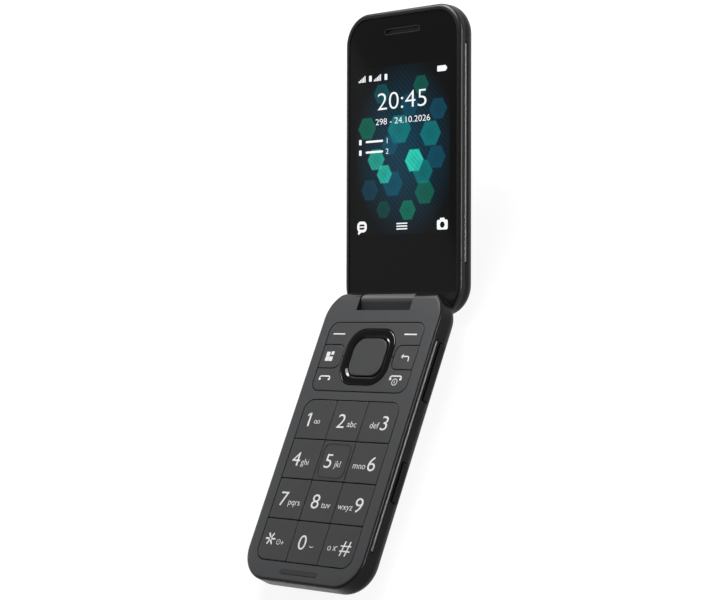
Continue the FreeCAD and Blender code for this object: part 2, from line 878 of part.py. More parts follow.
def make_rocker(name, y, end):
    """One of the two plates that share the cluster with the ring and the small keys."""
    places = [(pad_x[0], end), (pad_x[1], end)]
    plate = slab(f"{name}_plate", pad_x, y, key_z, corner=s.cluster_corner, corners=places, top=s.key_edge)
    tools = [
        keypad_tool(f"{name}_ring_gap", ring_x, ring_y, s.ring_corner, s.key_gap),
        small_key(f"{name}_left_gap", -1, gap=s.key_gap),
        small_key(f"{name}_right_gap", 1, gap=s.key_gap),
    ]
    node(cut(name, plate, tools), name)


def make_function_keys():
    """The cluster above the number pad."""
    upper = (cluster_mid + s.key_gap / 2, cluster_y[1])
    lower = (cluster_y[0], cluster_mid - s.key_gap / 2)
    make_rocker("soft_key_plate", upper, cluster_y[1])
    make_rocker("call_key_plate", lower, cluster_y[0])
    node(small_key("apps_key", -1), "apps_key")
    node(small_key("back_key", 1), "back_key")
    node(slab("ok_key", ok_x, ok_y, key_z, corner=s.ok_corner, top=s.key_edge), "ok_key")
    ring_z = (s.base_height - s.ring_height, s.base_height)
    ring = slab("ring_plate", ring_x, ring_y, ring_z, corner=s.ring_corner, top=s.key_edge)
    ring_hole = keypad_tool("ring_hole", ok_x, ok_y, s.ok_corner, s.key_gap)
    node(cut("nav_ring", ring, [ring_hole]), "nav_ring")
    carrier = slab("carrier_plate", ring_x, ring_y, up(key_low, s.carrier_height), corner=s.ring_corner)
    carrier_hole = keypad_tool("carrier_hole", ok_x, ok_y, s.ok_corner, s.key_gap)
    node(cut("nav_carrier", carrier, [carrier_hole]), "nav_carrier")


def make_side_key(name, y):
    """A key in the right side wall."""
    outer = half_width + s.side_key_proud
    places = [(outer, y[0]), (outer, y[1])]
    x = (outer - s.side_key_depth, outer)
    node(slab(name, x, y, side_key_z, corner=s.side_key_corner, corners=places), name)


# Hinge


def make_hinge():
    """Pin and pipe fixed in the base; sprung cartridge fixed in the lid's knuckle."""
    pin_start = notch_x[1] - s.hinge_pin_reach
    node(on_hinge("hinge_pin", pin_start, s.hinge_pin_radius, pin_length), "hinge_pin")
    pipe_length = flex_meet - pipe_end
    pipe = on_hinge("pipe_outside", pipe_end, pipe_radius, pipe_length)
    bore = on_hinge(
        "pipe_bore", pipe_end - s.overcut, pipe_radius - s.hinge_pipe_wall, pipe_length + 2 * s.overcut
    )
    node(cut("hinge_pipe", pipe, [bore]), "hinge_pipe")
    case_start = knuckle_x[1] - cartridge_length
    case = on_hinge("cartridge_case", case_start, s.hinge_bore - s.fit_gap, cartridge_length)
    pin_room = s.hinge_pin_radius + s.fit_gap
    pin_way = on_hinge("cartridge_pin_way", case_start, pin_room, cartridge_length + s.overcut)
    spring_radius = s.hinge_bore - s.fit_gap - s.cartridge_wall
    spring_start = case_start + s.cartridge_wall
    spring_room = on_hinge("cartridge_spring_room", spring_start, spring_radius, spring_length)
    node(cut("hinge_cartridge", case, [pin_way, spring_room]), "hinge_cartridge", on_lid=True)
    coil = on_hinge("spring_outside", spring_start, spring_radius - s.fit_gap, spring_length)
    hollow = on_hinge("spring_inside", spring_start - s.overcut, pin_room, 2 * spring_length)
    node(cut("hinge_spring", coil, [hollow]), "hinge_spring", on_lid=True)


def make_flexes():
    """The display lead: rolled up in the hinge pipe on the base side, then a strip into the lid."""
    roll_radius = pipe_radius - s.hinge_pipe_wall - s.part_gap
    roll = on_hinge("flex_roll", flex_end, roll_radius, flex_meet - flex_end)
    strip_z = about(hinge_z, s.flex_thickness)
    tail_y = (cavity_y[1] - s.board_gap - s.flex_width, hinge_y)
    tail = box("flex_tail", up(flex_end, s.flex_width), tail_y, strip_z)
    node(fuse("hinge_flex", [roll, tail]), "hinge_flex")
    x = up(flex_meet + s.part_gap, s.flex_width - 2 * s.part_gap)
    rise_y = about(hinge_y, s.flex_thickness)
    level = (lid_board_z[0] - s.flex_thickness, lid_board_z[0])
    rise = box("lid_flex_rise", x, rise_y, (hinge_z, level[1]))
    run = box("lid_flex_run", x, (lid_board_y[1] - s.flex_width, rise_y[1]), level)
    node(fuse("lid_flex", [rise, run]), "lid_flex", on_lid=True)


# Lid


def earpiece_slot(name, gap, z):
    """The pill-shaped slot in front of the earpiece."""
    x = about(0.0, s.earpiece_slot_length - 2 * gap)
    y = about(earpiece_y, s.earpiece_slot_width - 2 * gap)
    return slab(name, x, y, z, corner=s.earpiece_slot_width / 2 - gap - s.fit_gap)


def window_slab(name, gap, z):
    """The inner window's outline, rounded at the lid's free end and square at the hinge."""
    x, y = grow(inner_window_x, gap), grow(inner_window_y, gap)
    free_end = [(x[0], y[0]), (x[1], y[0])]
    return slab(name, x, y, z, corner=s.inner_window_corner + gap, corners=free_end)


def make_inner_frame():
    """The lid's inner frame with the hinge knuckle at its end."""
    rim = slab(
        "inner_rim", full_x, full_y, (lid_low, lid_split), corner=s.plan_corner, foot=s.face_round
    )
    knuckle = on_hinge("inner_knuckle", knuckle_x[0], knuckle_radius, knuckle_length)
    neck = box("inner_neck", knuckle_x, about(hinge_y, 2 * knuckle_radius), (hinge_z, lid_split))
    display_x = grow(main_display_x, s.part_gap)
    display_y = grow(main_display_y, s.part_gap)
    behind = (window_z[0], lid_split + s.overcut)
    flex_x = about(0.0, s.flex_width)
    flex_y = about(hinge_y, s.flex_thickness + 2 * s.part_gap)
    tools = [
        window_slab("inner_window_seat", s.fit_gap, (lid_low - s.overcut, window_z[1])),
        box("inner_display_hole", display_x, display_y, behind),
        box(
            "inner_earpiece_hole",
            about(0.0, s.earpiece_slot_length),
            about(earpiece_y, s.earpiece_slot_width),
            behind,
        ),
        on_hinge("inner_bore", knuckle_x[0] - s.overcut, s.hinge_bore, knuckle_length + 2 * s.overcut),
        box("inner_flex_way", flex_x, flex_y, (hinge_z, lid_split + s.overcut)),
        box(
            "inner_facet",
            grow(knuckle_x, s.overcut),
            about(hinge_y, 2 * s.hinge_depth),
            (hinge_z - s.hinge_depth, hinge_z - s.knuckle_facet),
        ),
    ]
    for i, place in enumerate(lid_screws):
        tools.append(post(f"inner_screw_hole_{i}", place, s.screw_radius + s.fit_gap, behind))
        head_z = (window_z[1], window_z[1] + s.screw_head_height)
        tools.append(post(f"inner_head_seat_{i}", place, s.screw_head_radius + s.fit_gap, head_z))
    body = fuse("inner_body", [rim, knuckle, neck])
    node(cut("lid_inner_frame", body, tools), "lid_inner_frame", on_lid=True)


def make_lid_screws():
    """The four screws under the inner window that hold the lid's two halves."""
    screws = []
    for i, place in enumerate(lid_screws):
        seat = window_z[1] + s.screw_head_height
        head = post(f"lid_head_{i}", place, s.screw_head_radius, (window_z[1], seat))
        shank = post(f"lid_shank_{i}", place, s.screw_radius, (window_z[1], seat + s.screw_depth))
        screws.append(fuse(f"lid_screw_{i}", [head, shank]))
    node(group("lid_screws", screws), "lid_screws", on_lid=True)


def make_outer_shell():
    """The lid's outer shell with the seat of the outer window."""
    hull = slab(
        "outer_hull", full_x, full_y, (lid_split, lid_top), corner=s.plan_corner, top=s.lid_back_round
    )
    face = (lid_cavity_top - s.overcut, lid_top + s.overcut)
    lid_cavity_y = grow(full_y, -s.side_wall)
    tools = [
        slab(
            "outer_cavity",
            cavity_x,
            lid_cavity_y,
            (lid_split - s.overcut, lid_cavity_top),
            corner=cavity_corner,
            top=s.lid_back_round - s.side_wall,
        ),
        slab(
            "outer_window_seat",
            grow(outer_window_x, s.fit_gap),
            grow(outer_window_y, s.fit_gap),
            (outer_window_z[0], lid_top + s.overcut),
            corner=s.outer_window_corner + s.fit_gap,
        ),
        box(
            "outer_display_hole",
            grow(outer_display_x, s.part_gap),
            grow(outer_display_y, s.part_gap),
            face,
        ),
        post("outer_camera_hole", camera_place, s.camera_barrel_radius + s.part_gap, face),
    ]
    tools += side_grooves("outer", (lid_split - s.overcut, lid_split + s.groove_height))
    shell = cut("outer_hollow", hull, tools)
    posts = []
    holes = []
    for i, place in enumerate(lid_screws):
        posts.append(post(f"outer_post_{i}", place, s.boss_radius, (lid_split, lid_cavity_top)))
        hole_z = (lid_split - s.overcut, window_z[1] + s.screw_head_height + s.screw_depth)
        holes.append(post(f"outer_post_hole_{i}", place, s.screw_radius + s.fit_gap, hole_z))
    shell = cut("lid_outer_shell", fuse("outer_with_posts", [shell] + posts), holes)
    node(shell, "lid_outer_shell", on_lid=True)


def make_inner_window():
    """The window over the main display, with the earpiece slot."""
    pane = window_slab("inner_pane", 0.0, window_z)
    slot = earpiece_slot("inner_slot", 0.0, grow(window_z, s.overcut))
    node(cut("inner_window", pane, [slot]), "inner_window", on_lid=True)
    mesh_z = (window_z[0] + s.mesh_drop, window_z[1])
    node(earpiece_slot("earpiece_mesh", s.fit_gap, mesh_z), "earpiece_mesh", on_lid=True)


def make_displays():
    """The main display behind the inner window and the small one behind the outer window."""
    z = up(window_z[1], s.main_display_thickness)
    node(slab("main_display", main_display_x, main_display_y, z), "main_display", on_lid=True)
    z = (outer_window_z[0] - s.outer_display_thickness, outer_window_z[0])
    node(slab("outer_display", outer_display_x, outer_display_y, z), "outer_display", on_lid=True)


def make_lid_pieces():
    """The lid's board, earpiece and closing magnet."""
    board = slab("lid_board", grow(full_x, -s.lid_board_from_side), lid_board_y, lid_board_z)
    node(board, "lid_board", on_lid=True)
    x = about(0.0, s.earpiece_width)
    y = about(earpiece_y, s.earpiece_length)
    node(slab("earpiece", x, y, up(lid_split, s.earpiece_height)), "earpiece", on_lid=True)
    x = about(half_width - s.magnet_from_side, s.magnet_side)
    y = about(earpiece_y, s.magnet_side)
    node(slab("lid_magnet", x, y, up(lid_split, s.magnet_height)), "lid_magnet", on_lid=True)


def camera_pill(name, gap, z):
    """The camera plate's pill, grown by a gap."""
    x = grow(camera_plate_x, gap)
    y = grow(camera_plate_y, gap)
    return slab(name, x, y, z, corner=s.camera_plate_length / 2 + gap - s.fit_gap)


def flash_pill(name, gap, z):
    """The flash lens's pill, grown by a gap."""
    x = grow(about(flash_place[0], s.flash_width), gap)
    y = grow(about(flash_place[1], s.flash_length), gap)
    return slab(name, x, y, z, corner=s.flash_length / 2 + gap - s.fit_gap)


def make_outer_window():
    """The outer window, open where the camera plate sits, with its small sensor hole."""
    pane = slab("outer_pane", outer_window_x, outer_window_y, outer_window_z, corner=s.outer_window_corner)
    hole_z = grow(outer_window_z, s.overcut)
    sensor = (outer_window_x[1] - s.sensor_hole_from_side, foot_end + s.sensor_hole_from_end)
    tools = [
        camera_pill("outer_pill_hole", s.fit_gap, hole_z),
        post("outer_sensor_hole", sensor, s.sensor_hole_radius, hole_z),
    ]
    node(cut("outer_window", pane, tools), "outer_window", on_lid=True)


def make_camera():
    """The camera plate with the flash lens, the camera's cover lens and the module behind it."""
    plate_z = (outer_window_z[0], lid_top + s.camera_plate_proud)
    through = grow(plate_z, s.overcut)
    holes = [
        post("plate_camera_hole", camera_place, s.camera_radius + s.fit_gap, through),
        flash_pill("plate_flash_hole", s.fit_gap, through),
    ]
    plate = cut("camera_plate", camera_pill("plate_pill", 0.0, plate_z), holes)
    node(plate, "camera_plate", on_lid=True)
    lens_z = up(outer_window_z[0], s.camera_lens_height)
    node(disc("camera_lens", camera_place, s.camera_radius, lens_z), "camera_lens", on_lid=True)
    node(flash_pill("flash_lens", 0.0, plate_z), "flash_lens", on_lid=True)
    side = s.camera_module_side
    block_z = up(lid_board_z[1], s.camera_module_height)
    block = box("camera_block", about(camera_place[0], side), about(camera_place[1], side), block_z)
    barrel_z = (lid_board_z[1], outer_window_z[0] - s.fit_gap)
    barrel = post("camera_barrel", camera_place, s.camera_barrel_radius, barrel_z)
    node(fuse("camera_module", [block, barrel]), "camera_module", on_lid=True)


def make_all():
    """Every sub-part."""
    make_rear_shell()
    make_front_frame()
    make_bumper()
    make_battery_cover()
    make_battery()
    make_board()
    make_base_screws()
    make_keypad_layers()
    make_board_pieces()
    make_side_switches()
    make_headphone_socket()
    make_usb_socket()
    make_number_keys()
    make_function_keys()
    make_side_key("volume_key", volume_y)
    make_side_key("emergency_key", emergency_y)
    make_hinge()
    make_flexes()
    make_inner_frame()
    make_lid_screws()
    make_outer_shell()
    make_inner_window()
    make_displays()
    make_lid_pieces()
    make_outer_window()
    make_camera()


def check():
    """Stop if a feature failed or a sub-part has no valid shape."""
    for item in doc.Objects:
        if "Invalid" in item.State or "Error" in item.State:
            raise RuntimeError(f"{item.Name} failed: {item.State}")
    for item in NODES:
        if item.Shape.isNull() or not item.Shape.isValid() or item.Shape.Volume <= 0:
            raise RuntimeError(f"{item.Label} has no valid shape")


def write():
    """Write each sub-part to its own file."""
    os.makedirs("parts", exist_ok=True)
    for item in NODES:
        item.Shape.exportStep(f"parts/{item.Label}.step")


make_all()
doc.recompute()
check()
write()
print(len(NODES), "sub-parts")
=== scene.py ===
import math

import bmesh
import bpy
from mathutils import Matrix, Vector


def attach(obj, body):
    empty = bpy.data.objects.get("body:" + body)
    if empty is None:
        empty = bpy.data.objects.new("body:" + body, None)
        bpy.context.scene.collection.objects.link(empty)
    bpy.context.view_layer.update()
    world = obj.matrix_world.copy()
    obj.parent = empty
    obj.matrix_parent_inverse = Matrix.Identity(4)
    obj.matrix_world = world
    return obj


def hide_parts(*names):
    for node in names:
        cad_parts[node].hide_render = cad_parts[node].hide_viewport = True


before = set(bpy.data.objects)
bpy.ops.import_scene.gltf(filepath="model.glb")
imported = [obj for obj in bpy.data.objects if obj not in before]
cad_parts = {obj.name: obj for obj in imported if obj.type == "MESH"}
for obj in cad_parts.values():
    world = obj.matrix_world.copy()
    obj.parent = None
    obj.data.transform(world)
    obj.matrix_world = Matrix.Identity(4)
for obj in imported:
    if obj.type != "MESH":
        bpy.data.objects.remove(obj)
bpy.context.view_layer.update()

# Places, in millimetres in the frame of the CAD model. The lid's faces are given with the lid shut.
MM = 0.001
HINGE_Y = 50.0
HINGE_Z = 6.0
OPEN_DEGREES = 155.0
KEY_FACE_Z = 10.0
INNER_WINDOW_Z = 10.6
MAIN_SCREEN_Y = -4.6
OUTER_WINDOW_Z = 18.9
OUTER_SCREEN_Y = -5.75
EARPIECE_Y = -46.5
CAMERA_X = -12.2
FLASH_X = 11.2
CAMERA_Y = 40.3
LENS_Z = 18.8
CAMERA_PLATE_Z = 19.15
SPEAKER_HOLE_Y = 25.4

# Printed and lit shapes stand a little above their face and reach a little into it
PRINT_RISE = 0.03
SINK = 0.02


def millimetres(x, y, z):
    """A move given in millimetres."""
    return Matrix.Translation(Vector((x, y, z)) * MM)


LID_OPEN = (
    millimetres(0, HINGE_Y, HINGE_Z)
    @ Matrix.Rotation(math.radians(-OPEN_DEGREES), 4, "X")
    @ millimetres(0, -HINGE_Y, -HINGE_Z)
)
TO_METRES = Matrix.Scale(MM, 4)
FACE_DOWN = Matrix.Rotation(math.pi, 4, "X")
BASE = TO_METRES
BASE_UNDERSIDE = FACE_DOWN @ TO_METRES
LID_SHUT = LID_OPEN @ TO_METRES
KEYPAD = millimetres(0, 0, KEY_FACE_Z) @ TO_METRES
MAIN_SCREEN = LID_OPEN @ millimetres(0, MAIN_SCREEN_Y, INNER_WINDOW_Z) @ FACE_DOWN @ TO_METRES
OUTER_SCREEN = LID_OPEN @ millimetres(0, OUTER_SCREEN_Y, OUTER_WINDOW_Z) @ TO_METRES
LENS_FACE = LID_OPEN @ millimetres(CAMERA_X, CAMERA_Y, LENS_Z) @ TO_METRES
FLASH_FACE = LID_OPEN @ millimetres(FLASH_X, CAMERA_Y, CAMERA_PLATE_Z) @ TO_METRES


# Shader nodes


def set_socket(tree, socket, value):
    """Link a socket to another, or set its own value."""
    if isinstance(value, bpy.types.NodeSocket):
        tree.links.new(value, socket)
    else:
        socket.default_value = value


def add_node(tree, kind, inputs, **settings):
    """A shader node with its settings and its inputs by name or number."""
    made = tree.nodes.new(kind)
    for key, value in settings.items():
        setattr(made, key, value)
    for key, value in inputs.items():
        set_socket(tree, made.inputs[key], value)
    return made


def blend_colours(tree, share, first, second):
    """Two colours mixed by a share."""
    made = add_node(tree, "ShaderNodeMix", {0: share, 6: first, 7: second}, data_type="RGBA", blend_type="MIX")
    return made.outputs[2]


def number(tree, how, first, second=0.0):
    """One sum of two numbers."""
    made = add_node(tree, "ShaderNodeMath", {0: first, 1: second}, operation=how)
    return made.outputs[0]


def vector(tree, how, first, second=(0.0, 0.0, 0.0)):
    """One sum of two vectors whose result is a vector."""
    made = add_node(tree, "ShaderNodeVectorMath", {0: first, 1: second}, operation=how)
    return made.outputs["Vector"]


def measure(tree, how, first, second):
    """One sum of two vectors whose result is a number."""
    made = add_node(tree, "ShaderNodeVectorMath", {0: first, 1: second}, operation=how)
    return made.outputs["Value"]


def rescale(tree, value, low, high, start=0.0, end=1.0):
    """A value between start and end spread from low to high."""
    made = add_node(
        tree, "ShaderNodeMapRange", {0: value, 1: start, 2: end, 3: low, 4: high}, interpolation_type="LINEAR"
    )
    return made.outputs[0]


def noise(tree, place, size_mm, detail=2.0):
    """Cloudy noise whose grains are about a size."""
    made = add_node(
        tree, "ShaderNodeTexNoise", {"Vector": place, "Scale": 1.0 / (size_mm * MM), "Detail": detail}
    )
    return made.outputs[0]


def object_place(tree):
    """The place on the piece."""
    return add_node(tree, "ShaderNodeTexCoord", {}).outputs["Object"]


def roughen(tree, shader, strength, depth_mm, height):
    """A fine bump of a depth."""
    bump = add_node(
        tree, "ShaderNodeBump", {"Strength": strength, "Distance": depth_mm * MM, "Height": height}
    )
    set_socket(tree, shader.inputs["Normal"], bump.outputs[0])


# Finishes


def new_finish(name):
    """A fresh material with its tree and its shader."""
    made = bpy.data.materials.new(name)
    made.use_nodes = True
    return made, made.node_tree, made.node_tree.nodes["Principled BSDF"]


def parts_of(finish):
    """The tree, the shader and the paint of a finish that is painted further."""
    tree = finish.node_tree
    shader = tree.nodes["Principled BSDF"]
    return tree, shader, shader.inputs["Base Color"].links[0].from_socket


def grey(level, cool=1.0):
    """A near-neutral colour, a little bluer where given."""
    return (level * (1.5 - cool / 2), level, level * cool, 1.0)


# A moulded finish mixes a fine grain with a broad cloud, so many times the grain's size
GRAIN_SHARE = 0.65
CLOUD_TIMES = 40
CLOUD_DETAIL = 3.0
BUMP_STRENGTH = 0.6


def moulded(name, dark, light, grain_mm, rough, spread, bump_mm, metallic=0.0, specular=0.5):
    """A moulded or painted finish: two close tones in a fine grain, uneven roughness and a fine bump."""
    made, tree, shader = new_finish(name)
    place = object_place(tree)
    fine = noise(tree, place, grain_mm)
    broad = noise(tree, place, CLOUD_TIMES * grain_mm, CLOUD_DETAIL)
    fine_part = number(tree, "MULTIPLY", fine, GRAIN_SHARE)
    tone = number(tree, "ADD", fine_part, number(tree, "MULTIPLY", broad, 1.0 - GRAIN_SHARE))
    set_socket(tree, shader.inputs["Base Color"], blend_colours(tree, tone, dark, light))
    set_socket(tree, shader.inputs["Roughness"], rescale(tree, broad, rough - spread, rough + spread))
    roughen(tree, shader, BUMP_STRENGTH, bump_mm, fine)
    shader.inputs["Metallic"].default_value = metallic
    shader.inputs["Specular IOR Level"].default_value = specular
    return made


# A point on the back of each shell and the way in from it
BASE_BACK = (Vector((0, 0, 0)), Vector((0, 0, 1)))
LID_BACK = (LID_OPEN @ (Vector((0, 0, OUTER_WINDOW_Z)) * MM), LID_OPEN.to_3x3() @ Vector((0, 0, -1)))

# How deep the back's paint reaches round the edge, and from where the sides' painted shade starts
BACK_ENDS = 3.0
SIDE_STARTS = 4.6
SHELL_ROUGH = 0.34
SIDE_ROUGH = 0.22
# Painted shade: the shells' sides are painted darker than their back
SIDE_PAINTED_SHADE = grey(0.008)
SHELL_GRAIN = 0.30
SPECK_SIZE = 0.24
SPECK_EDGES = (0.58, 0.72)
SPECK_SHARE = 0.7
SPECK_TONE = grey(0.130, 1.03)


def speckled(name, back):
    """A painted shell: paler specks strewn over its back, its sides smoother and darkened by painted shade."""
    made = moulded(
        name, grey(0.030, 1.04), grey(0.048, 1.04), SHELL_GRAIN, SHELL_ROUGH, 0.05, 0.016, specular=0.2
    )
    tree, shader, paint = parts_of(made)
    place = object_place(tree)
    specks = rescale(tree, noise(tree, place, SPECK_SIZE, 1.0), 0.0, SPECK_SHARE, *SPECK_EDGES)
    back_paint = blend_colours(tree, specks, paint, SPECK_TONE)
    point, inwards = back
    depth = measure(tree, "DOT_PRODUCT", vector(tree, "SUBTRACT", place, point), inwards)
    side = rescale(tree, depth, 0.0, 1.0, BACK_ENDS * MM, SIDE_STARTS * MM)
    # The sides take the painted shade, and are smoother there too
    set_socket(tree, shader.inputs["Base Color"], blend_colours(tree, side, back_paint, SIDE_PAINTED_SHADE))
    set_socket(tree, shader.inputs["Roughness"], rescale(tree, side, SHELL_ROUGH, SIDE_ROUGH))
    return made


# The height at which the keypad frame's rounded rim ends and its face starts
RIM_Z = 9.72
RIM_BLEND = 0.2
# Painted shade: the rim and sides are the same moulding, painted darker
RIM_PAINTED_SHADE = grey(0.010)
RIM_ROUGH = 0.18
FACE_ROUGH = 0.45


def rimmed(name):
    """The keypad's frame: charcoal on its face, smoother on its rounded rim and sides and painted darker there
    as painted shade.
    """
    made = moulded(
        name, grey(0.056, 1.04), grey(0.074, 1.04), 0.16, FACE_ROUGH, 0.04, 0.010, specular=0.22
    )
    tree, shader, face = parts_of(made)
    height = add_node(tree, "ShaderNodeSeparateXYZ", {0: object_place(tree)}).outputs["Z"]
    upper = rescale(tree, height, 0.0, 1.0, RIM_Z * MM, (RIM_Z + RIM_BLEND) * MM)
    # Below the rim's top the frame takes the painted shade
    set_socket(tree, shader.inputs["Base Color"], blend_colours(tree, upper, RIM_PAINTED_SHADE, face))
    set_socket(tree, shader.inputs["Roughness"], rescale(tree, upper, RIM_ROUGH, FACE_ROUGH))
    return made


# The hinge knuckle: its reach round the hinge, and where along the way to the keypad its painted shade deepens
KNUCKLE_REACH = 4.2
KEYPAD_WAY = (0.0, -0.906, -0.423)
KNUCKLE_SHADE_STARTS = -2.3
KNUCKLE_SHADE_FULL = -0.7
KNUCKLE_PAINTED_SHADE = grey(0.032, 1.03)
KNUCKLE_ROUGH = 0.24
LID_FRAME_ROUGH = 0.30


def framed(name):
    """The lid's inner frame: black round the window, charcoal on the hinge knuckle, pale on its top as a
    painted highlight and darker to the keypad as painted shade.
    """
    made = moulded(name, grey(0.006), grey(0.011), 0.16, LID_FRAME_ROUGH, 0.05, 0.008, specular=0.45)
    tree, shader, black = parts_of(made)
    place = object_place(tree)
    axis = (0.0, HINGE_Y * MM, HINGE_Z * MM)
    off_axis = measure(tree, "DISTANCE", vector(tree, "MULTIPLY", place, (0.0, 1.0, 1.0)), axis)
    knuckle = number(tree, "LESS_THAN", off_axis, KNUCKLE_REACH * MM)
    # The knuckle's charcoal: its real grey, made paler as a painted highlight
    charcoal = blend_colours(tree, noise(tree, place, 0.16), grey(0.110, 1.03), grey(0.130, 1.03))
    lower = measure(tree, "DOT_PRODUCT", vector(tree, "SUBTRACT", place, axis), KEYPAD_WAY)
    # Painted shade: the knuckle darkens towards the keypad
    dark = rescale(tree, lower, 0.0, 1.0, KNUCKLE_SHADE_STARTS * MM, KNUCKLE_SHADE_FULL * MM)
    charcoal = blend_colours(tree, dark, charcoal, KNUCKLE_PAINTED_SHADE)
    set_socket(tree, shader.inputs["Base Color"], blend_colours(tree, knuckle, black, charcoal))
    set_socket(tree, shader.inputs["Roughness"], rescale(tree, knuckle, LID_FRAME_ROUGH, KNUCKLE_ROUGH))
    return made


BRUSH_STRETCH = (0.02, 1.0, 1.0)
BRUSH_MARK = 0.12
BRUSH_SPREAD = 0.08


def brushed(name, dark, light, rough):
    """Metal with fine straight brush marks along the phone's width."""
    made, tree, shader = new_finish(name)
    drawn = add_node(tree, "ShaderNodeMapping", {"Vector": object_place(tree), "Scale": BRUSH_STRETCH})
    marks = noise(tree, drawn.outputs[0], BRUSH_MARK, 3.0)
    set_socket(tree, shader.inputs["Base Color"], blend_colours(tree, marks, dark, light))
    roughness = rescale(tree, marks, rough - BRUSH_SPREAD, rough + BRUSH_SPREAD)
    set_socket(tree, shader.inputs["Roughness"], roughness)
    roughen(tree, shader, 0.3, 0.01, marks)
    shader.inputs["Metallic"].default_value = 1.0
    return made


WIRE_PITCH = 0.35


def woven(name):
    """Fine black wire mesh."""
    made, tree, shader = new_finish(name)
    cells = add_node(
        tree, "ShaderNodeTexVoronoi",
        {"Vector": object_place(tree), "Scale": 1.0 / (WIRE_PITCH * MM), "Randomness": 0.2},
    )
    wire = rescale(tree, cells.outputs["Distance"], 0.0, 1.0, 0.25, 0.5)
    set_socket(tree, shader.inputs["Base Color"], blend_colours(tree, wire, grey(0.0005), grey(0.005)))
    roughen(tree, shader, BUMP_STRENGTH, 0.05, wire)
    shader.inputs["Roughness"].default_value = 0.5
    shader.inputs["Specular IOR Level"].default_value = 0.12
    return made


def board_mask(name):
    """Green board lacquer with faint copper tracks."""
    made, tree, shader = new_finish(name)
    place = object_place(tree)
    tracks = add_node(
        tree, "ShaderNodeTexBrick", {"Vector": place, "Scale": 900.0, "Mortar Size": 0.03}, offset=0.3
    )
    cloud = noise(tree, place, 6.0)
    lacquer = blend_colours(tree, cloud, (0.010, 0.060, 0.030, 1.0), (0.018, 0.095, 0.045, 1.0))
    colour = blend_colours(tree, tracks.outputs["Fac"], lacquer, (0.05, 0.17, 0.07, 1.0))
    set_socket(tree, shader.inputs["Base Color"], colour)
    set_socket(tree, shader.inputs["Roughness"], rescale(tree, cloud, 0.3, 0.45))
    return made


def light_up(tree, shader, colour, ground, rough, specular=0.5):
    """Make a shader glow in a colour over a dark ground."""
    set_socket(tree, shader.inputs["Emission Color"], colour)
    shader.inputs["Emission Strength"].default_value = 1.0
    shader.inputs["Base Color"].default_value = ground
    shader.inputs["Roughness"].default_value = rough
    shader.inputs["Specular IOR Level"].default_value = specular


def lit_white(name):
    """White light of the screens' signs, a little uneven."""
    made, tree, shader = new_finish(name)
    cloud = noise(tree, object_place(tree), 3.0)
    white = blend_colours(tree, cloud, (0.90, 0.94, 0.98, 1.0), (1.0, 1.0, 1.0, 1.0))
    light_up(tree, shader, white, grey(0.02), 0.3)
    return made


def lit_black(name):
    """The outer screen's black ground, faintly uneven."""
    made, tree, shader = new_finish(name)
    cloud = noise(tree, object_place(tree), 8.0)
    light_up(tree, shader, blend_colours(tree, cloud, grey(0.0), grey(0.0015)), grey(0.0015), 0.06, 0.2)
    return made


# Sizes of the lit screens, in millimetres
MAIN_WIDTH = 44.4
MAIN_LENGTH = 59.6
OUTER_WIDTH = 28.1
OUTER_LENGTH = 35.1

# Ground of the main screen's picture: deep blue in the middle, near black at the edges, with hatching
PICTURE_MIDDLE = (0.52, 0.5, 0.0)
BLUE_ENDS = (0.08, 0.55)
EDGE_BLACK = (0.001, 0.0015, 0.002, 1.0)
DEEP_BLUE = (0.002, 0.030, 0.058, 1.0)
HATCH_BLUE = (0.004, 0.085, 0.12, 1.0)
HATCH_SHARE = 0.45
HATCH_IN_GLOW = 0.76

# Six-sided glows of the main screen: place in shares of the screen, size, colour and strength
GREEN = (0.00, 0.30, 0.17)
TEAL = (0.00, 0.30, 0.30)
BLUE = (0.00, 0.10, 0.17)
BRIGHT = (0.03, 0.78, 0.58)
GLOWS = [
    (0.12, 0.64, 0.090, GREEN, 0.40), (0.28, 0.84, 0.080, TEAL, 0.22), (0.22, 0.45, 0.085, BRIGHT, 0.45),
    (0.47, 0.62, 0.115, TEAL, 0.60), (0.37, 0.53, 0.080, BLUE, 0.60), (0.63, 0.43, 0.090, BRIGHT, 0.85),
    (0.72, 0.36, 0.095, TEAL, 0.50), (0.80, 0.58, 0.100, TEAL, 0.55), (0.88, 0.72, 0.085, BLUE, 0.55),
    (0.86, 0.44, 0.090, BLUE, 0.60), (0.40, 0.30, 0.100, BLUE, 0.70), (0.31, 0.36, 0.075, BRIGHT, 0.55),
    (0.74, 0.24, 0.095, GREEN, 0.35), (0.15, 0.27, 0.085, BLUE, 0.35), (0.56, 0.14, 0.080, GREEN, 0.50),
    (0.70, 0.87, 0.075, GREEN, 0.30), (0.58, 0.76, 0.090, BLUE, 0.45), (0.30, 0.15, 0.070, GREEN, 0.15),
]
GLOW_EDGE = 0.88
GLOW_MIDDLE = 0.75
SIX_SIDED_SLANT = (0.866, 0.5, 0.0)


def glow(tree, shape, hatch, across_share, along_share, size, strength):
    """The share of one six-sided glow: soft at its edge, strongest near it, and hatched."""
    centre = (across_share, along_share * MAIN_LENGTH / MAIN_WIDTH, 0.0)
    off = vector(tree, "ABSOLUTE", vector(tree, "SUBTRACT", shape, centre))
    slant = measure(tree, "DOT_PRODUCT", off, SIX_SIDED_SLANT)
    upright = add_node(tree, "ShaderNodeSeparateXYZ", {0: off}).outputs["Y"]
    reach = number(tree, "MAXIMUM", slant, upright)
    inside = rescale(tree, reach, 1.0, 0.0, size * GLOW_EDGE, size)
    rim = rescale(tree, reach, GLOW_MIDDLE, 1.0, 0.0, size)
    hatched = rescale(tree, hatch, strength, strength * HATCH_IN_GLOW)
    return number(tree, "MULTIPLY", number(tree, "MULTIPLY", inside, hatched), rim)


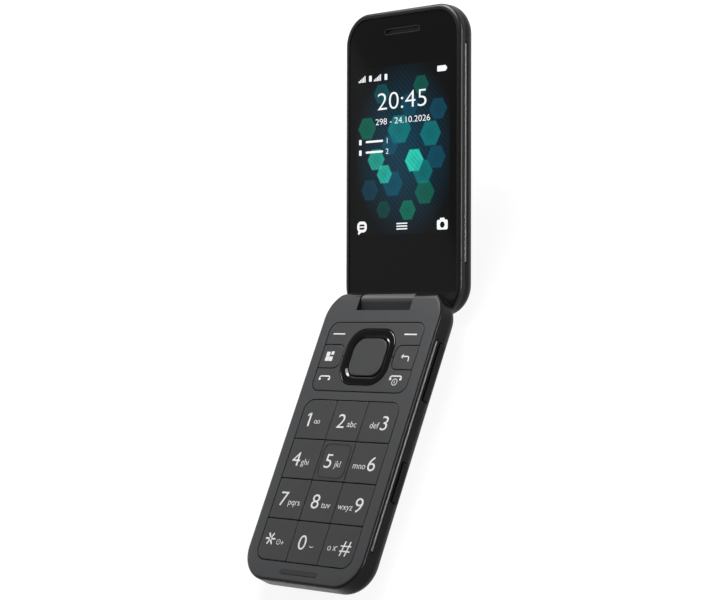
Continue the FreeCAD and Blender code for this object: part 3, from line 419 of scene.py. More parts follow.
def lit_picture(name):
    """A lit screen of soft six-sided glows with slanted hatching on deep blue."""
    made, tree, shader = new_finish(name)
    share = add_node(tree, "ShaderNodeTexCoord", {}).outputs["UV"]
    shape = vector(tree, "MULTIPLY", share, (1.0, MAIN_LENGTH / MAIN_WIDTH, 1.0))
    blue = rescale(tree, measure(tree, "DISTANCE", share, PICTURE_MIDDLE), 1.0, 0.0, *BLUE_ENDS)
    colour = blend_colours(tree, blue, EDGE_BLACK, DEEP_BLUE)
    hatch = add_node(
        tree, "ShaderNodeTexWave", {"Vector": shape, "Scale": 14.0, "Distortion": 1.2, "Detail Scale": 0.6},
        bands_direction="DIAGONAL",
    ).outputs["Fac"]
    lines = number(tree, "MULTIPLY", number(tree, "POWER", hatch, 3.0), blue)
    colour = blend_colours(tree, number(tree, "MULTIPLY", lines, HATCH_SHARE), colour, HATCH_BLUE)
    for across_share, along_share, size, tint, strength in GLOWS:
        shown = glow(tree, shape, hatch, across_share, along_share, size, strength)
        colour = blend_colours(tree, shown, colour, (*tint, 1.0))
    light_up(tree, shader, colour, grey(0.004), 0.06, 0.35)
    return made


# A moulded finish is given by its two tones, its grain in millimetres, its roughness and the spread of
# that, and its bump in millimetres
FINISHES = {
    "base_shell": speckled("charcoal_base_shell", BASE_BACK),
    "lid_shell": speckled("charcoal_lid_shell", LID_BACK),
    "face": rimmed("charcoal_face"),
    "keys": moulded(
        "charcoal_keys", grey(0.042, 1.03), grey(0.056, 1.03), 0.16, 0.45, 0.04, 0.010, specular=0.35
    ),
    "cover": moulded(
        "charcoal_cover", grey(0.023, 1.04), grey(0.033, 1.04), 0.16, 0.48, 0.04, 0.012, specular=0.35
    ),
    "lid_frame": framed("black_lid_frame"),
    "strip": moulded("side_strip_satin", grey(0.21), grey(0.28), 0.3, 0.26, 0.05, 0.004, metallic=0.6),
    "rim": moulded("earpiece_rim_satin", grey(0.030), grey(0.042), 0.2, 0.25, 0.05, 0.003),
    # The bumper is painted darker than its own grey, as painted shade of its outline
    "bumper": moulded("soft_grey_bumper", grey(0.014, 1.06), grey(0.022, 1.06), 0.10, 0.60, 0.06, 0.010),
    "window": moulded(
        "black_window_gloss", grey(0.0035), grey(0.0055), 2.0, 0.055, 0.02, 0.0, specular=0.35
    ),
    "ring": moulded("black_ring_gloss", grey(0.002), grey(0.004), 1.0, 0.07, 0.02, 0.0, specular=0.6),
    "rubber": moulded("soft_black_rubber", grey(0.010), grey(0.020), 0.10, 0.75, 0.08, 0.012, specular=0.3),
    "mesh": woven("earpiece_black_mesh"),
    "inner": moulded("inner_black_plastic", grey(0.012), grey(0.024), 0.2, 0.6, 0.06, 0.01),
    "lens": moulded(
        "lens_black_glass", (0.002, 0.002, 0.003, 1.0), (0.004, 0.004, 0.007, 1.0), 1.0, 0.04, 0.02, 0.0
    ),
    "flash": moulded(
        "flash_cream", (0.66, 0.62, 0.40, 1.0), (0.85, 0.84, 0.70, 1.0), 0.7, 0.18, 0.05, 0.05
    ),
    "plate": moulded("camera_plate_metal", grey(0.30), grey(0.42), 0.12, 0.34, 0.05, 0.004, metallic=0.55),
    "steel": brushed("plain_steel", grey(0.42), grey(0.58), 0.30),
    "gold": brushed("contact_gold", (0.75, 0.52, 0.18, 1.0), (0.88, 0.66, 0.28, 1.0), 0.25),
    "film": moulded("amber_film", (0.42, 0.22, 0.04, 1.0), (0.55, 0.31, 0.07, 1.0), 0.8, 0.35, 0.06, 0.005),
    "wrap": moulded("battery_wrap", grey(0.055), grey(0.085), 0.3, 0.42, 0.06, 0.006),
    "display": moulded(
        "dark_display", (0.006, 0.008, 0.010, 1.0), (0.010, 0.012, 0.016, 1.0), 2.0, 0.12, 0.03, 0.0
    ),
    "board": board_mask("board_lacquer"),
    "print": moulded("pale_legend_print", grey(0.78), grey(0.86), 0.2, 0.5, 0.05, 0.004),
    "white": lit_white("screen_white"),
    "picture": lit_picture("main_screen_picture"),
    "screen_black": lit_black("outer_screen_black"),
}


# The CAD nodes

NUMBER_KEYS = [
    "key_1", "key_2", "key_3", "key_4", "key_5", "key_6", "key_7", "key_8", "key_9",
    "key_star", "key_0", "key_hash",
]
FACE_KEYS = ["soft_key_plate", "call_key_plate", "apps_key", "back_key", "ok_key", *NUMBER_KEYS]
SIDE_KEYS = ["volume_key", "emergency_key"]
NODE_FINISHES = {
    "base_shell": ["base_rear_shell", *SIDE_KEYS],
    "lid_shell": ["lid_outer_shell"],
    "face": ["base_front_frame"],
    "keys": FACE_KEYS,
    "cover": ["battery_cover"],
    "lid_frame": ["lid_inner_frame"],
    "window": ["inner_window", "outer_window"],
    "ring": ["nav_ring"],
    "rubber": ["keypad_mat", "nav_carrier"],
    "bumper": ["front_bumper"],
    "inner": [
        "earpiece", "camera_module", "sim_holder", "loudspeaker", "headphone_socket",
        "microphone", "side_switches",
    ],
    "mesh": ["earpiece_mesh"],
    "lens": ["camera_lens"],
    "flash": ["flash_lens"],
    "plate": ["camera_plate"],
    "steel": [
        "hinge_pin", "hinge_pipe", "hinge_cartridge", "hinge_spring", "base_screws", "lid_screws",
        "usb_socket", "shield_can", "vibration_motor", "lid_magnet",
    ],
    "gold": ["battery_contacts"],
    "film": ["dome_sheet", "hinge_flex", "lid_flex"],
    "wrap": ["battery"],
    "display": ["main_display", "outer_display"],
    "board": ["main_board", "lid_board"],
}

# Softened edges of pieces that are touched, in millimetres
KEY_ROUND = 0.18
SIDE_KEY_ROUND = 0.40
SOFT_EDGES = {**dict.fromkeys(FACE_KEYS, KEY_ROUND), **dict.fromkeys(SIDE_KEYS, SIDE_KEY_ROUND)}
ROUND_SEGMENTS = 4
ROUND_ANGLE = 40
NODE_CRISP_ANGLE = 28
WELD_MM = 0.001


def smooth(shown, crisp_degrees):
    """Smooth an object over edges flatter than an angle, and keep the sharper ones crisp."""
    for face in shown.data.polygons:
        face.use_smooth = True
    split = shown.modifiers.new("crisp_edges", "EDGE_SPLIT")
    split.split_angle = math.radians(crisp_degrees)


def dress(node_name, finish):
    """Give a CAD node its finish, smooth over its rounds and crisp at its edges."""
    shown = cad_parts[node_name]
    shown.data.materials.clear()
    shown.data.materials.append(FINISHES[finish])
    weld = shown.modifiers.new("weld", "WELD")
    weld.merge_threshold = WELD_MM * MM
    if node_name in SOFT_EDGES:
        bevel = shown.modifiers.new("soft_edges", "BEVEL")
        bevel.width = SOFT_EDGES[node_name] * MM
        bevel.segments = ROUND_SEGMENTS
        bevel.limit_method = "ANGLE"
        bevel.angle_limit = math.radians(ROUND_ANGLE)
    smooth(shown, NODE_CRISP_ANGLE)
    if node_name in SOFT_EDGES:
        shown.modifiers.new("flat_faces", "WEIGHTED_NORMAL")


for finish_name, node_names in NODE_FINISHES.items():
    for node_name in node_names:
        dress(node_name, finish_name)


# Shapes on the faces, in millimetres

CLOSE = 0.01
TRIM_CRISP_ANGLE = 35
DOME_CRISP_ANGLE = 60


def add_object(name, data):
    """A new object in the scene."""
    made = bpy.data.objects.new(name, data)
    bpy.context.scene.collection.objects.link(made)
    return made


def rounded_block(width, length, corner, low, high, segments=8):
    """A block between two levels with rounded upright corners."""
    shape = bmesh.new()
    bmesh.ops.create_cube(shape, size=1.0)
    stretch = Matrix.Diagonal((width, length, high - low, 1))
    stand = Matrix.Translation((0, 0, (low + high) / 2)) @ stretch
    bmesh.ops.transform(shape, matrix=stand, verts=shape.verts)
    if corner > 0:
        upright = [e for e in shape.edges if abs(e.verts[0].co.z - e.verts[1].co.z) > (high - low) / 2]
        bmesh.ops.bevel(
            shape, geom=upright, offset=corner, segments=segments, profile=0.5, affect="EDGES", material=-1
        )
    return shape


def rounded_frame(width, length, corner, low, high, steps):
    """A rounded frame whose top goes inwards in steps of width and height, open in the middle."""
    shape = rounded_block(width, length, corner, low, high, segments=14)
    shape.faces.ensure_lookup_table()
    top = max(shape.faces, key=lambda f: f.calc_center_median().z)
    foot = min(shape.faces, key=lambda f: f.calc_center_median().z)
    for inwards, upwards in steps:
        bmesh.ops.inset_individual(shape, faces=[top], thickness=inwards, depth=upwards, use_even_offset=True)
    band = sum(inwards for inwards, upwards in steps)
    bmesh.ops.inset_individual(shape, faces=[foot], thickness=band, use_even_offset=True)
    rims = list(top.edges) + list(foot.edges)
    bmesh.ops.delete(shape, geom=[top, foot], context="FACES_ONLY")
    bmesh.ops.bridge_loops(shape, edges=rims)
    bmesh.ops.recalc_face_normals(shape, faces=shape.faces)
    return shape


def pour(shape, whole):
    """Add a shape to a larger one, and free it."""
    held = bpy.data.meshes.new("held")
    shape.to_mesh(held)
    shape.free()
    whole.from_mesh(held)
    bpy.data.meshes.remove(held)


def finish_piece(shape, name, face, body, finish):
    """Make a shape in millimetres a piece on a face, riding on a body."""
    made = bpy.data.meshes.new(name)
    bmesh.ops.transform(shape, matrix=face, verts=shape.verts)
    shape.to_mesh(made)
    shape.free()
    made.materials.append(FINISHES[finish])
    piece = add_object(name, made)
    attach(piece, body)
    return piece


# The height of a capital as a share of the letters' size
CAPITAL_SHARE = 0.73


class Drawing:
    """Small flat shapes on one face of the phone, joined into one piece."""

    def __init__(self, rise=PRINT_RISE):
        self.mesh = bmesh.new()
        self.rise = rise

    def add(self, shape, x, y, turn=0.0):
        """Put a finished shape at a place."""
        shape.transform(Matrix.Translation((x, y, 0)) @ Matrix.Rotation(math.radians(turn), 4, "Z"))
        bmesh.ops.recalc_face_normals(shape, faces=shape.faces)
        pour(shape, self.mesh)

    def bar(self, x, y, width, length, turn=0.0, corner=0.0):
        """A straight bar, with rounded corners where given."""
        self.add(rounded_block(width, length, corner, -SINK, self.rise, segments=6), x, y, turn)

    def frame(self, x, y, width, length, corner, band):
        """A rounded outline of a band's width."""
        self.add(rounded_frame(width, length, corner, -SINK, self.rise, [(band, 0.0)]), x, y)

    def disc(self, x, y, radius):
        """A round dot."""
        shape = bmesh.new()
        thick = self.rise + SINK
        bmesh.ops.create_cone(
            shape, cap_ends=True, segments=32, radius1=radius, radius2=radius, depth=thick
        )
        bmesh.ops.translate(shape, vec=(0, 0, thick / 2 - SINK), verts=shape.verts)
        self.add(shape, x, y)

    def arc(self, x, y, radius, width, start, sweep, steps=24):
        """A curved band, closed to a ring where it goes all the way round."""
        shape = bmesh.new()
        near, far = radius - width / 2, radius + width / 2
        corners = [(near, -SINK), (far, -SINK), (far, self.rise), (near, self.rise)]
        points = [shape.verts.new((r, 0, z)) for r, z in corners]
        edges = [shape.edges.new((points[i], points[i - 1])) for i in range(4)]
        whole = abs(sweep) >= 360
        bmesh.ops.spin(
            shape, geom=points + edges, cent=(0, 0, 0), axis=(0, 0, 1), dvec=(0, 0, 0),
            angle=math.radians(sweep), steps=steps, use_merge=whole,
        )
        if not whole:
            bmesh.ops.holes_fill(shape, edges=shape.edges)
        self.add(shape, x, y, start)

    def ring(self, x, y, radius, width, start=0, steps=24):
        """A whole ring, with corners where few steps are given."""
        self.arc(x, y, radius, width, start, 360, steps)

    def words(self, x, y, text, height, align="CENTER", weight=0.0, widen=1.0):
        """Printed characters of a capital height, made wider or thinner where given."""
        curve = bpy.data.curves.new("words", "FONT")
        curve.body = text
        curve.size = height / CAPITAL_SHARE
        curve.align_x = align
        curve.extrude = (self.rise + SINK) / 2
        curve.offset = weight
        curve.resolution_u = 6
        written = add_object("words", curve)
        bpy.context.view_layer.update()
        seen = written.evaluated_get(bpy.context.evaluated_depsgraph_get())
        flat = bpy.data.meshes.new_from_object(seen)
        bpy.data.objects.remove(written)
        bpy.data.curves.remove(curve)
        spread = Matrix.Diagonal((widen, 1, 1, 1))
        flat.transform(Matrix.Translation((x, y - height / 2, (self.rise - SINK) / 2)) @ spread)
        self.mesh.from_mesh(flat)
        bpy.data.meshes.remove(flat)

    def place(self, name, face, body, finish, slot):
        """Finish the drawing as one piece on a face, riding on a body."""
        return finish_piece(self.mesh, name, face, body, finish)


# Legends of the number keys, in columns from left to right

KEY_PITCH_X = 14.8
KEY_PITCH_Y = 14.65
FIRST_ROW_Y = 4.275
DIGIT_HEIGHT = 5.4
DIGIT_WIDEN = 1.12
DIGIT_WEIGHT = -0.03
DIGIT_OFF_KEY = (-3.0, -2.4, 2.9)
LETTER_HEIGHT = 2.4
LETTER_WEIGHT = -0.022
LETTER_DROP = 1.0
LETTER_OFF_DIGIT = (2.6, 3.1, -2.4)
LETTER_ALIGN = ("LEFT", "LEFT", "RIGHT")
SIGN_LINE = 0.26
KEY_LEGENDS = [
    ("key_1", "1", ""), ("key_2", "2", "abc"), ("key_3", "3", "def"),
    ("key_4", "4", "ghi"), ("key_5", "5", "jkl"), ("key_6", "6", "mno"),
    ("key_7", "7", "pqrs"), ("key_8", "8", "tuv"), ("key_9", "9", "wxyz"),
    ("key_star", "", ""), ("key_0", "0", ""), ("key_hash", "#", ""),
]

# The raised frame of the middle key, dark as painted shade of its outline
FIVE_RISE = 0.12
FIVE_WIDTH = 12.8
FIVE_LENGTH = 12.6
FIVE_CORNER = 2.6
FIVE_BAND = 0.45


def one_signs(drawing, x, y):
    """The flag of the 1, and two reels joined by a line for recorded messages."""
    flag, flag_line = 1.5, 0.55
    drawing.bar(x - 0.75, y + 1.75, flag, flag_line, turn=38, corner=0.1)
    reels_x, apart, reel, line = x + 3.9, 0.75, 0.55, 0.22
    for side in (-apart, apart):
        drawing.ring(reels_x + side, y - 0.9, reel, line)
    drawing.bar(reels_x, y - 1.42, 2 * apart, line)


def star_signs(drawing, x, y):
    """A six-pointed star, a small clock and a plus."""
    star, star_line = 4.6, 0.62
    for turn in (30, 90, 150):
        drawing.bar(x, y, star_line, star, turn=turn, corner=0.2)
    clock_x, clock, hand, clock_line = x + 4.2, 0.85, 0.55, 0.2
    drawing.ring(clock_x, y - 0.9, clock, clock_line)
    drawing.bar(clock_x, y - 0.65, clock_line, hand)
    plus_x, plus_y, plus = x + 6.1, y - 1.1, 1.2
    drawing.bar(plus_x, plus_y, plus, SIGN_LINE)
    drawing.bar(plus_x, plus_y, SIGN_LINE, plus)


def zero_signs(drawing, x, y):
    """A low bow for the space between words."""
    drawing.arc(x + 4.6, y - 0.3, 1.2, SIGN_LINE, 225, 90)


def hash_signs(drawing, x, y):
    """A small five-sided shape and a crossed sign for capitals and silence."""
    drawing.ring(x - 7.2, y - 1.1, 0.75, SIGN_LINE, start=90, steps=5)
    for turn in (40, -40):
        drawing.bar(x - 4.8, y - 1.0, SIGN_LINE, 1.9, turn=turn)
    drawing.bar(x - 4.1, y - 0.25, 0.9, SIGN_LINE)


KEY_SIGNS = {"key_1": one_signs, "key_star": star_signs, "key_0": zero_signs, "key_hash": hash_signs}


def make_key_legends():
    """Digits, letters and signs of the number keys, and the frame of the middle one, dark as painted shade."""
    for index, (name, digit, letters) in enumerate(KEY_LEGENDS):
        row, column = divmod(index, 3)
        x = (column - 1) * KEY_PITCH_X + DIGIT_OFF_KEY[column]
        y = FIRST_ROW_Y - row * KEY_PITCH_Y
        drawing = Drawing()
        if digit:
            drawing.words(x, y, digit, DIGIT_HEIGHT, weight=DIGIT_WEIGHT, widen=DIGIT_WIDEN)
        if letters:
            drawing.words(
                x + LETTER_OFF_DIGIT[column], y - LETTER_DROP, letters, LETTER_HEIGHT,
                LETTER_ALIGN[column], weight=LETTER_WEIGHT,
            )
        if name in KEY_SIGNS:
            KEY_SIGNS[name](drawing, x, y)
        drawing.place(f"legend_{name}", KEYPAD, name, "print", "key_grey")
    five = Drawing(rise=FIVE_RISE)
    five.frame(0, FIRST_ROW_Y - KEY_PITCH_Y, FIVE_WIDTH, FIVE_LENGTH, FIVE_CORNER, FIVE_BAND)
    # The frame takes the dark inner finish as painted shade of its raised outline
    five.place("key_5_raised_frame", KEYPAD, "key_5", "inner", "key_grey")


# Legends of the keys round the ring

SOFT_BARS_X = (-17.0, 16.8)
SOFT_BARS_Y = 36.8
SOFT_BAR_WIDTH = 5.7
SOFT_BAR_LINE = 0.5
APPS_X = -18.2
APPS_Y = 28.1
APPS_SQUARES = ((-0.9, 0.9, 1.72), (-0.9, -0.9, 1.72), (0.9, -0.9, 1.72), (1.15, 1.3, 1.3))
APPS_CORNER = 0.15
BACK_Y = 28.6
BACK_LINE = 0.45
BACK_SHAFT_X = 17.2
BACK_SHAFT = 2.6
BACK_BEND_X = 18.5
BACK_BEND = 0.8
BACK_TAIL = 1.0
BACK_HEAD_X = 16.2
BACK_HEAD = 1.05
BACK_HEAD_HALF = 0.3
CALL_X = -17.2
CALL_Y = 20.6
CALL_WIDTH = 4.9
END_X = 16.2
END_Y = 21.3
END_WIDTH = 5.1
END_RING_Y = 19.1
END_RING_RADIUS = 1.15
END_HAND = 1.0
HANDSET_LINE = 0.5
HANDSET_BEND = 0.8
HANDSET_FOOT_WIDTH = 0.95
HANDSET_FOOT_LENGTH = 0.75
HANDSET_FOOT_CORNER = 0.12
HANDSET_FOOT_IN = 0.22
HANDSET_FOOT_DROP = 0.35


def handset(drawing, x, y, width):
    """A telephone handset seen as a low arch with two short feet."""
    bend = HANDSET_BEND
    drawing.bar(x, y, width - 2 * bend, HANDSET_LINE)
    for side, start in ((-1, 90), (1, 0)):
        drawing.arc(x + side * (width / 2 - bend), y - bend, bend, HANDSET_LINE, start, 90, steps=8)
        drawing.bar(
            x + side * (width / 2 - HANDSET_FOOT_IN), y - bend - HANDSET_FOOT_DROP,
            HANDSET_FOOT_WIDTH, HANDSET_FOOT_LENGTH, corner=HANDSET_FOOT_CORNER,
        )


def make_cluster_legends():
    """Signs of the keys round the ring."""
    soft = Drawing()
    for x in SOFT_BARS_X:
        soft.bar(x, SOFT_BARS_Y, SOFT_BAR_WIDTH, SOFT_BAR_LINE)
    soft.place("legend_soft_keys", KEYPAD, "soft_key_plate", "print", "key_grey")
    apps = Drawing()
    for right, up, size in APPS_SQUARES:
        apps.bar(APPS_X + right, APPS_Y + up, size, size, corner=APPS_CORNER)
    apps.place("legend_apps_key", KEYPAD, "apps_key", "print", "key_grey")
    back = Drawing()
    back.bar(BACK_SHAFT_X, BACK_Y, BACK_SHAFT, BACK_LINE)
    back.arc(BACK_BEND_X, BACK_Y - BACK_BEND, BACK_BEND, BACK_LINE, 0, 90, steps=8)
    back.bar(BACK_BEND_X + BACK_BEND, BACK_Y - BACK_BEND - BACK_TAIL / 2, BACK_LINE, BACK_TAIL)
    for side in (1, -1):
        back.bar(BACK_HEAD_X, BACK_Y + side * BACK_HEAD_HALF, BACK_LINE, BACK_HEAD, turn=-45 * side)
    back.place("legend_back_key", KEYPAD, "back_key", "print", "key_grey")
    call = Drawing()
    handset(call, CALL_X, CALL_Y, CALL_WIDTH)
    handset(call, END_X, END_Y, END_WIDTH)
    call.ring(END_X, END_RING_Y, END_RING_RADIUS, SIGN_LINE)
    call.bar(END_X, END_RING_Y, SIGN_LINE, END_HAND)
    call.place("legend_call_keys", KEYPAD, "call_key_plate", "print", "key_grey")


# The navigation ring, with the steps of its top inwards and upwards

RING_Y = 28.2
RING_WIDTH = 22.2
RING_LENGTH = 21.0
RING_CORNER = 7.0
RING_FOOT = -0.8
RING_EDGE = -0.30
RING_STEPS = [
    (0.06, 0.14), (0.10, 0.10), (0.20, 0.05), (1.00, 0.01), (0.90, 0.0),
    (0.12, -0.02), (0.08, -0.03), (0.55, -0.256), (0.08, -0.045), (0.11, -0.09),
]


def make_ring():
    """The glossy ring: a rounded outer edge, a flat band and a slope down to the middle key."""
    shape = rounded_frame(RING_WIDTH, RING_LENGTH, RING_CORNER, RING_FOOT, RING_EDGE, RING_STEPS)
    face = KEYPAD @ Matrix.Translation((0, RING_Y, 0))
    ring = finish_piece(shape, "nav_ring_gloss", face, "nav_ring", "ring")
    smooth(ring, TRIM_CRISP_ANGLE)
    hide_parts("nav_ring")


# The strips in the side grooves

STRIP_X = 26.92
STRIP_Y = -2.0
LID_STRIP_Z = 13.05
BASE_STRIP_Z = 7.65
STRIP_WIDTH = 0.86
STRIP_LENGTH = 75.2
STRIP_CORNER = 0.42
STRIP_DEPTH = 0.5
STRIP_ROUND = 0.2
STRIPS = [
    ("lid", LID_SHUT, LID_STRIP_Z, "lid_frame_black"),
    ("base", BASE, BASE_STRIP_Z, "frame_grey"),
]


def make_strips():
    """The pale bars in the long grooves of both sides, on the lid and on the base."""
    for body, face, level, slot in STRIPS:
        strips = bmesh.new()
        for side in (-1, 1):
            bar = rounded_block(STRIP_WIDTH, STRIP_LENGTH, STRIP_CORNER, 0.0, STRIP_DEPTH, segments=6)
            rim = [e for e in bar.edges if min(v.co.z for v in e.verts) > STRIP_DEPTH - CLOSE]
            bmesh.ops.bevel(
                bar, geom=rim, offset=STRIP_ROUND, segments=3, profile=0.5, affect="EDGES", material=-1
            )
            outwards = Matrix.Rotation(side * math.pi / 2, 4, "Y")
            lay = Matrix.Translation((side * STRIP_X, STRIP_Y, level)) @ outwards
            bmesh.ops.transform(bar, matrix=lay, verts=bar.verts)
            pour(bar, strips)
        piece = finish_piece(strips, f"{body}_side_strips", face, body, "strip")
        smooth(piece, TRIM_CRISP_ANGLE)


# Screens

CLOCK = "20:45"
DATE = "298 - 24.10.2026"
SHORT_DATE = "298 - 24.10"
CLOCK_HEIGHT = 6.4
DATE_HEIGHT = 2.3
OPERATOR_HEIGHT = 2.0
OUTER_CLOCK_HEIGHT = 7.4
OUTER_DATE_HEIGHT = 3.3
OUTER_DATE_Y = -8.2

# Places on the main screen, in shares across it and down it
SIGNALS_ACROSS = (0.03, 0.20)
SIGNALS_DOWN = 0.062
CARD_OFF_SIGNAL = 0.125
BATTERY_AT = (0.915, 0.05)
CLOCK_AT = (0.50, 0.203)
DATE_AT = (0.505, 0.325)
OPERATORS = ((0.44, "1"), (0.503, "2"))
OPERATOR_CARD_ACROSS = 0.045
OPERATOR_BAR_ACROSS = 0.20
OPERATOR_DIGIT_ACROSS = 0.34
MESSAGE_AT = (0.065, 0.948)
MENU_AT = (0.5, 0.953)
CAMERA_SIGN_AT = (0.925, 0.955)

# The rising bars of the signal
SIGNAL_BARS = 5
SIGNAL_PITCH = 0.72
SIGNAL_LINE = 0.5
SIGNAL_LOWEST = 0.6
SIGNAL_STEP = 0.42
SIGNAL_FOOT = 1.1


def make_lit_sheet(name, width, length, face, finish):
    """A thin lit sheet on a window, with a picture map across it."""
    shape = bmesh.new()
    shape.loops.layers.uv.new("picture")
    bmesh.ops.create_grid(shape, x_segments=1, y_segments=1, size=0.5, calc_uvs=True)
    bmesh.ops.transform(shape, matrix=Matrix.Diagonal((width, length, 1, 1)), verts=shape.verts)
    bmesh.ops.translate(shape, vec=(0, 0, PRINT_RISE / 2), verts=shape.verts)
    walls = bmesh.ops.extrude_edge_only(shape, edges=shape.edges[:])
    low = [v for v in walls["geom"] if isinstance(v, bmesh.types.BMVert)]
    bmesh.ops.translate(shape, vec=(0, 0, -PRINT_RISE / 2 - SINK), verts=low)
    bmesh.ops.holes_fill(shape, edges=[e for e in shape.edges if e.is_boundary])
    bmesh.ops.recalc_face_normals(shape, faces=shape.faces)
    finish_piece(shape, name, face, "lid", finish)


def on_main_screen(across, down):
    """A place on the main screen, from shares across it and down it."""
    return (across - 0.5) * MAIN_WIDTH, (0.5 - down) * MAIN_LENGTH


def signal_sign(drawing, x, y):
    """Rising bars."""
    for i in range(SIGNAL_BARS):
        height = SIGNAL_LOWEST + SIGNAL_STEP * i
        drawing.bar(x + i * SIGNAL_PITCH, y - SIGNAL_FOOT + height / 2, SIGNAL_LINE, height)


def card_sign(drawing, x, y, width, length, corner):
    """A plain upright card."""
    drawing.bar(x, y, width, length, corner=corner)


def battery_sign(drawing, x, y):
    """A full battery with its tip."""
    width, height, tip, tip_off = 4.0, 2.0, 0.5, 2.2
    drawing.bar(x, y, width, height, corner=0.3)
    drawing.bar(x + tip_off, y, tip, height / 2)


def message_sign(drawing, x, y):
    """A speech bubble with one line in it and a tail."""
    width, height, corner, band = 4.7, 3.9, 1.7, 1.0
    drawing.frame(x, y, width, height, corner, band)
    line, line_width = 2.6, 0.45
    drawing.bar(x, y, line, line_width)
    tail, tail_width = 1.3, 0.8
    drawing.bar(x - 1.332, y - 2.086, tail, tail_width, turn=35)


def menu_sign(drawing, x, y):
    """Three bars, one under the other."""
    apart, width, line = 0.9536, 5.2, 0.45
    for up in (apart, 0.0, -apart):
        drawing.bar(x, y + up, width, line, corner=0.2)


def camera_sign(drawing, x, y):
    """A camera with a round hole for its lens and a hump on top."""
    width, height, corner, band = 4.9, 3.4, 0.6, 0.62
    drawing.frame(x, y, width, height, corner, band)
    lens, lens_band = 1.38, 0.60
    drawing.ring(x, y, lens, lens_band)
    fill_off, fill_width, fill_height = 1.53, 0.8, 2.3
    for side in (-fill_off, fill_off):
        drawing.bar(x + side, y, fill_width, fill_height)
    hump, hump_height = 2.1, 0.8
    drawing.bar(x, y + 1.9668, hump, hump_height, corner=0.2)


def make_main_screen():
    """The lit picture with its clock, date and signs."""
    make_lit_sheet("main_screen_picture", MAIN_WIDTH, MAIN_LENGTH, MAIN_SCREEN, "picture")
    signs = Drawing()
    for across in SIGNALS_ACROSS:
        signal_sign(signs, *on_main_screen(across, SIGNALS_DOWN))
        card_sign(signs, *on_main_screen(across + CARD_OFF_SIGNAL, SIGNALS_DOWN), 1.3, 2.1, 0.25)
    battery_sign(signs, *on_main_screen(*BATTERY_AT))
    signs.words(*on_main_screen(*CLOCK_AT), CLOCK, CLOCK_HEIGHT, weight=-0.10, widen=1.26)
    signs.words(*on_main_screen(*DATE_AT), DATE, DATE_HEIGHT, weight=-0.02, widen=1.22)
    for down, digit in OPERATORS:
        card_sign(signs, *on_main_screen(OPERATOR_CARD_ACROSS, down), 1.2, 1.9, 0.2)
        signs.bar(*on_main_screen(OPERATOR_BAR_ACROSS, down), 8.4, 0.75, corner=0.3)
        signs.words(*on_main_screen(OPERATOR_DIGIT_ACROSS, down), digit, OPERATOR_HEIGHT)
    message_sign(signs, *on_main_screen(*MESSAGE_AT))
    menu_sign(signs, *on_main_screen(*MENU_AT))
    camera_sign(signs, *on_main_screen(*CAMERA_SIGN_AT))
    signs.place("main_screen_signs", MAIN_SCREEN, "lid", "white", "display_black")


def make_outer_screen():
    """The small screen's clock, with the date below it."""
    make_lit_sheet("outer_screen_ground", OUTER_WIDTH, OUTER_LENGTH, OUTER_SCREEN, "screen_black")
    signs = Drawing()
    signs.words(0, 0, CLOCK, OUTER_CLOCK_HEIGHT, weight=-0.05, widen=1.07)
    signs.words(0, OUTER_DATE_Y, SHORT_DATE, OUTER_DATE_HEIGHT, widen=1.11)
    signs.place("outer_screen_signs", OUTER_SCREEN, "lid", "white", "display_black")


# Small trim

EARPIECE_RIM_RISE = 0.08
EARPIECE_RIM_WIDTH = 16.5
EARPIECE_RIM_LENGTH = 2.1
EARPIECE_RIM_CORNER = 1.0
EARPIECE_RIM_BAND = 0.20
LENS_RING_RISE = 0.10
LENS_RINGS = ((2.75, 0.30), (1.75, 0.22))
LENS_DOME_RADIUS = 1.25
LENS_DOME_RISE = 0.25
FLASH_RIM_RISE = 0.08
FLASH_RIM_WIDTH = 6.9
FLASH_RIM_LENGTH = 4.8
FLASH_RIM_CORNER = 2.2
FLASH_RIM_BAND = 0.5
SPEAKER_HOLE_RADIUS = 0.35


def make_earpiece_rim():
    """The thin raised rim round the earpiece's slot."""
    rim = Drawing(rise=EARPIECE_RIM_RISE)
    rim.frame(
        0, MAIN_SCREEN_Y - EARPIECE_Y, EARPIECE_RIM_WIDTH, EARPIECE_RIM_LENGTH, EARPIECE_RIM_CORNER,
        EARPIECE_RIM_BAND,
    )
    rim.place("earpiece_rim", MAIN_SCREEN, "lid", "rim", "lid_frame_black")


def make_camera_trim():
    """The rings and the small dome of the camera, and the dark rim round its light."""
    rings = Drawing(rise=LENS_RING_RISE)
    for radius, width in LENS_RINGS:
        rings.ring(0, 0, radius, width, steps=48)
    smooth(rings.place("camera_lens_rings", LENS_FACE, "lid", "rim", "lid_frame_black"), TRIM_CRISP_ANGLE)
    dome = bmesh.new()
    bmesh.ops.create_uvsphere(dome, u_segments=32, v_segments=16, radius=1.0)
    flatten = Matrix.Diagonal((LENS_DOME_RADIUS, LENS_DOME_RADIUS, LENS_DOME_RISE, 1))
    bmesh.ops.transform(dome, matrix=flatten, verts=dome.verts)
    shown = finish_piece(dome, "camera_lens_dome", LENS_FACE, "lid", "lens")
    smooth(shown, DOME_CRISP_ANGLE)
    rim = Drawing(rise=FLASH_RIM_RISE)
    rim.frame(0, 0, FLASH_RIM_WIDTH, FLASH_RIM_LENGTH, FLASH_RIM_CORNER, FLASH_RIM_BAND)
    rim.place("flash_lens_rim", FLASH_FACE, "lid", "inner", "lid_frame_black")


def make_speaker_hole_shade():
    """The small dark dot beside the speaker's slot in the battery cover, painted shade standing for a small
    hole.
    """
    dot = Drawing()
    dot.disc(0, -SPEAKER_HOLE_Y, SPEAKER_HOLE_RADIUS)
    # A dark disc as painted shade in place of the hole
    dot.place("speaker_hole_shade", BASE_UNDERSIDE, "battery_cover", "inner", "cover_grey")


make_key_legends()
make_cluster_legends()
make_ring()
make_strips()
make_main_screen()
make_earpiece_rim()
make_outer_screen()
make_camera_trim()
make_speaker_hole_shade()


# Floor, light and camera, in metres except where a name says otherwise

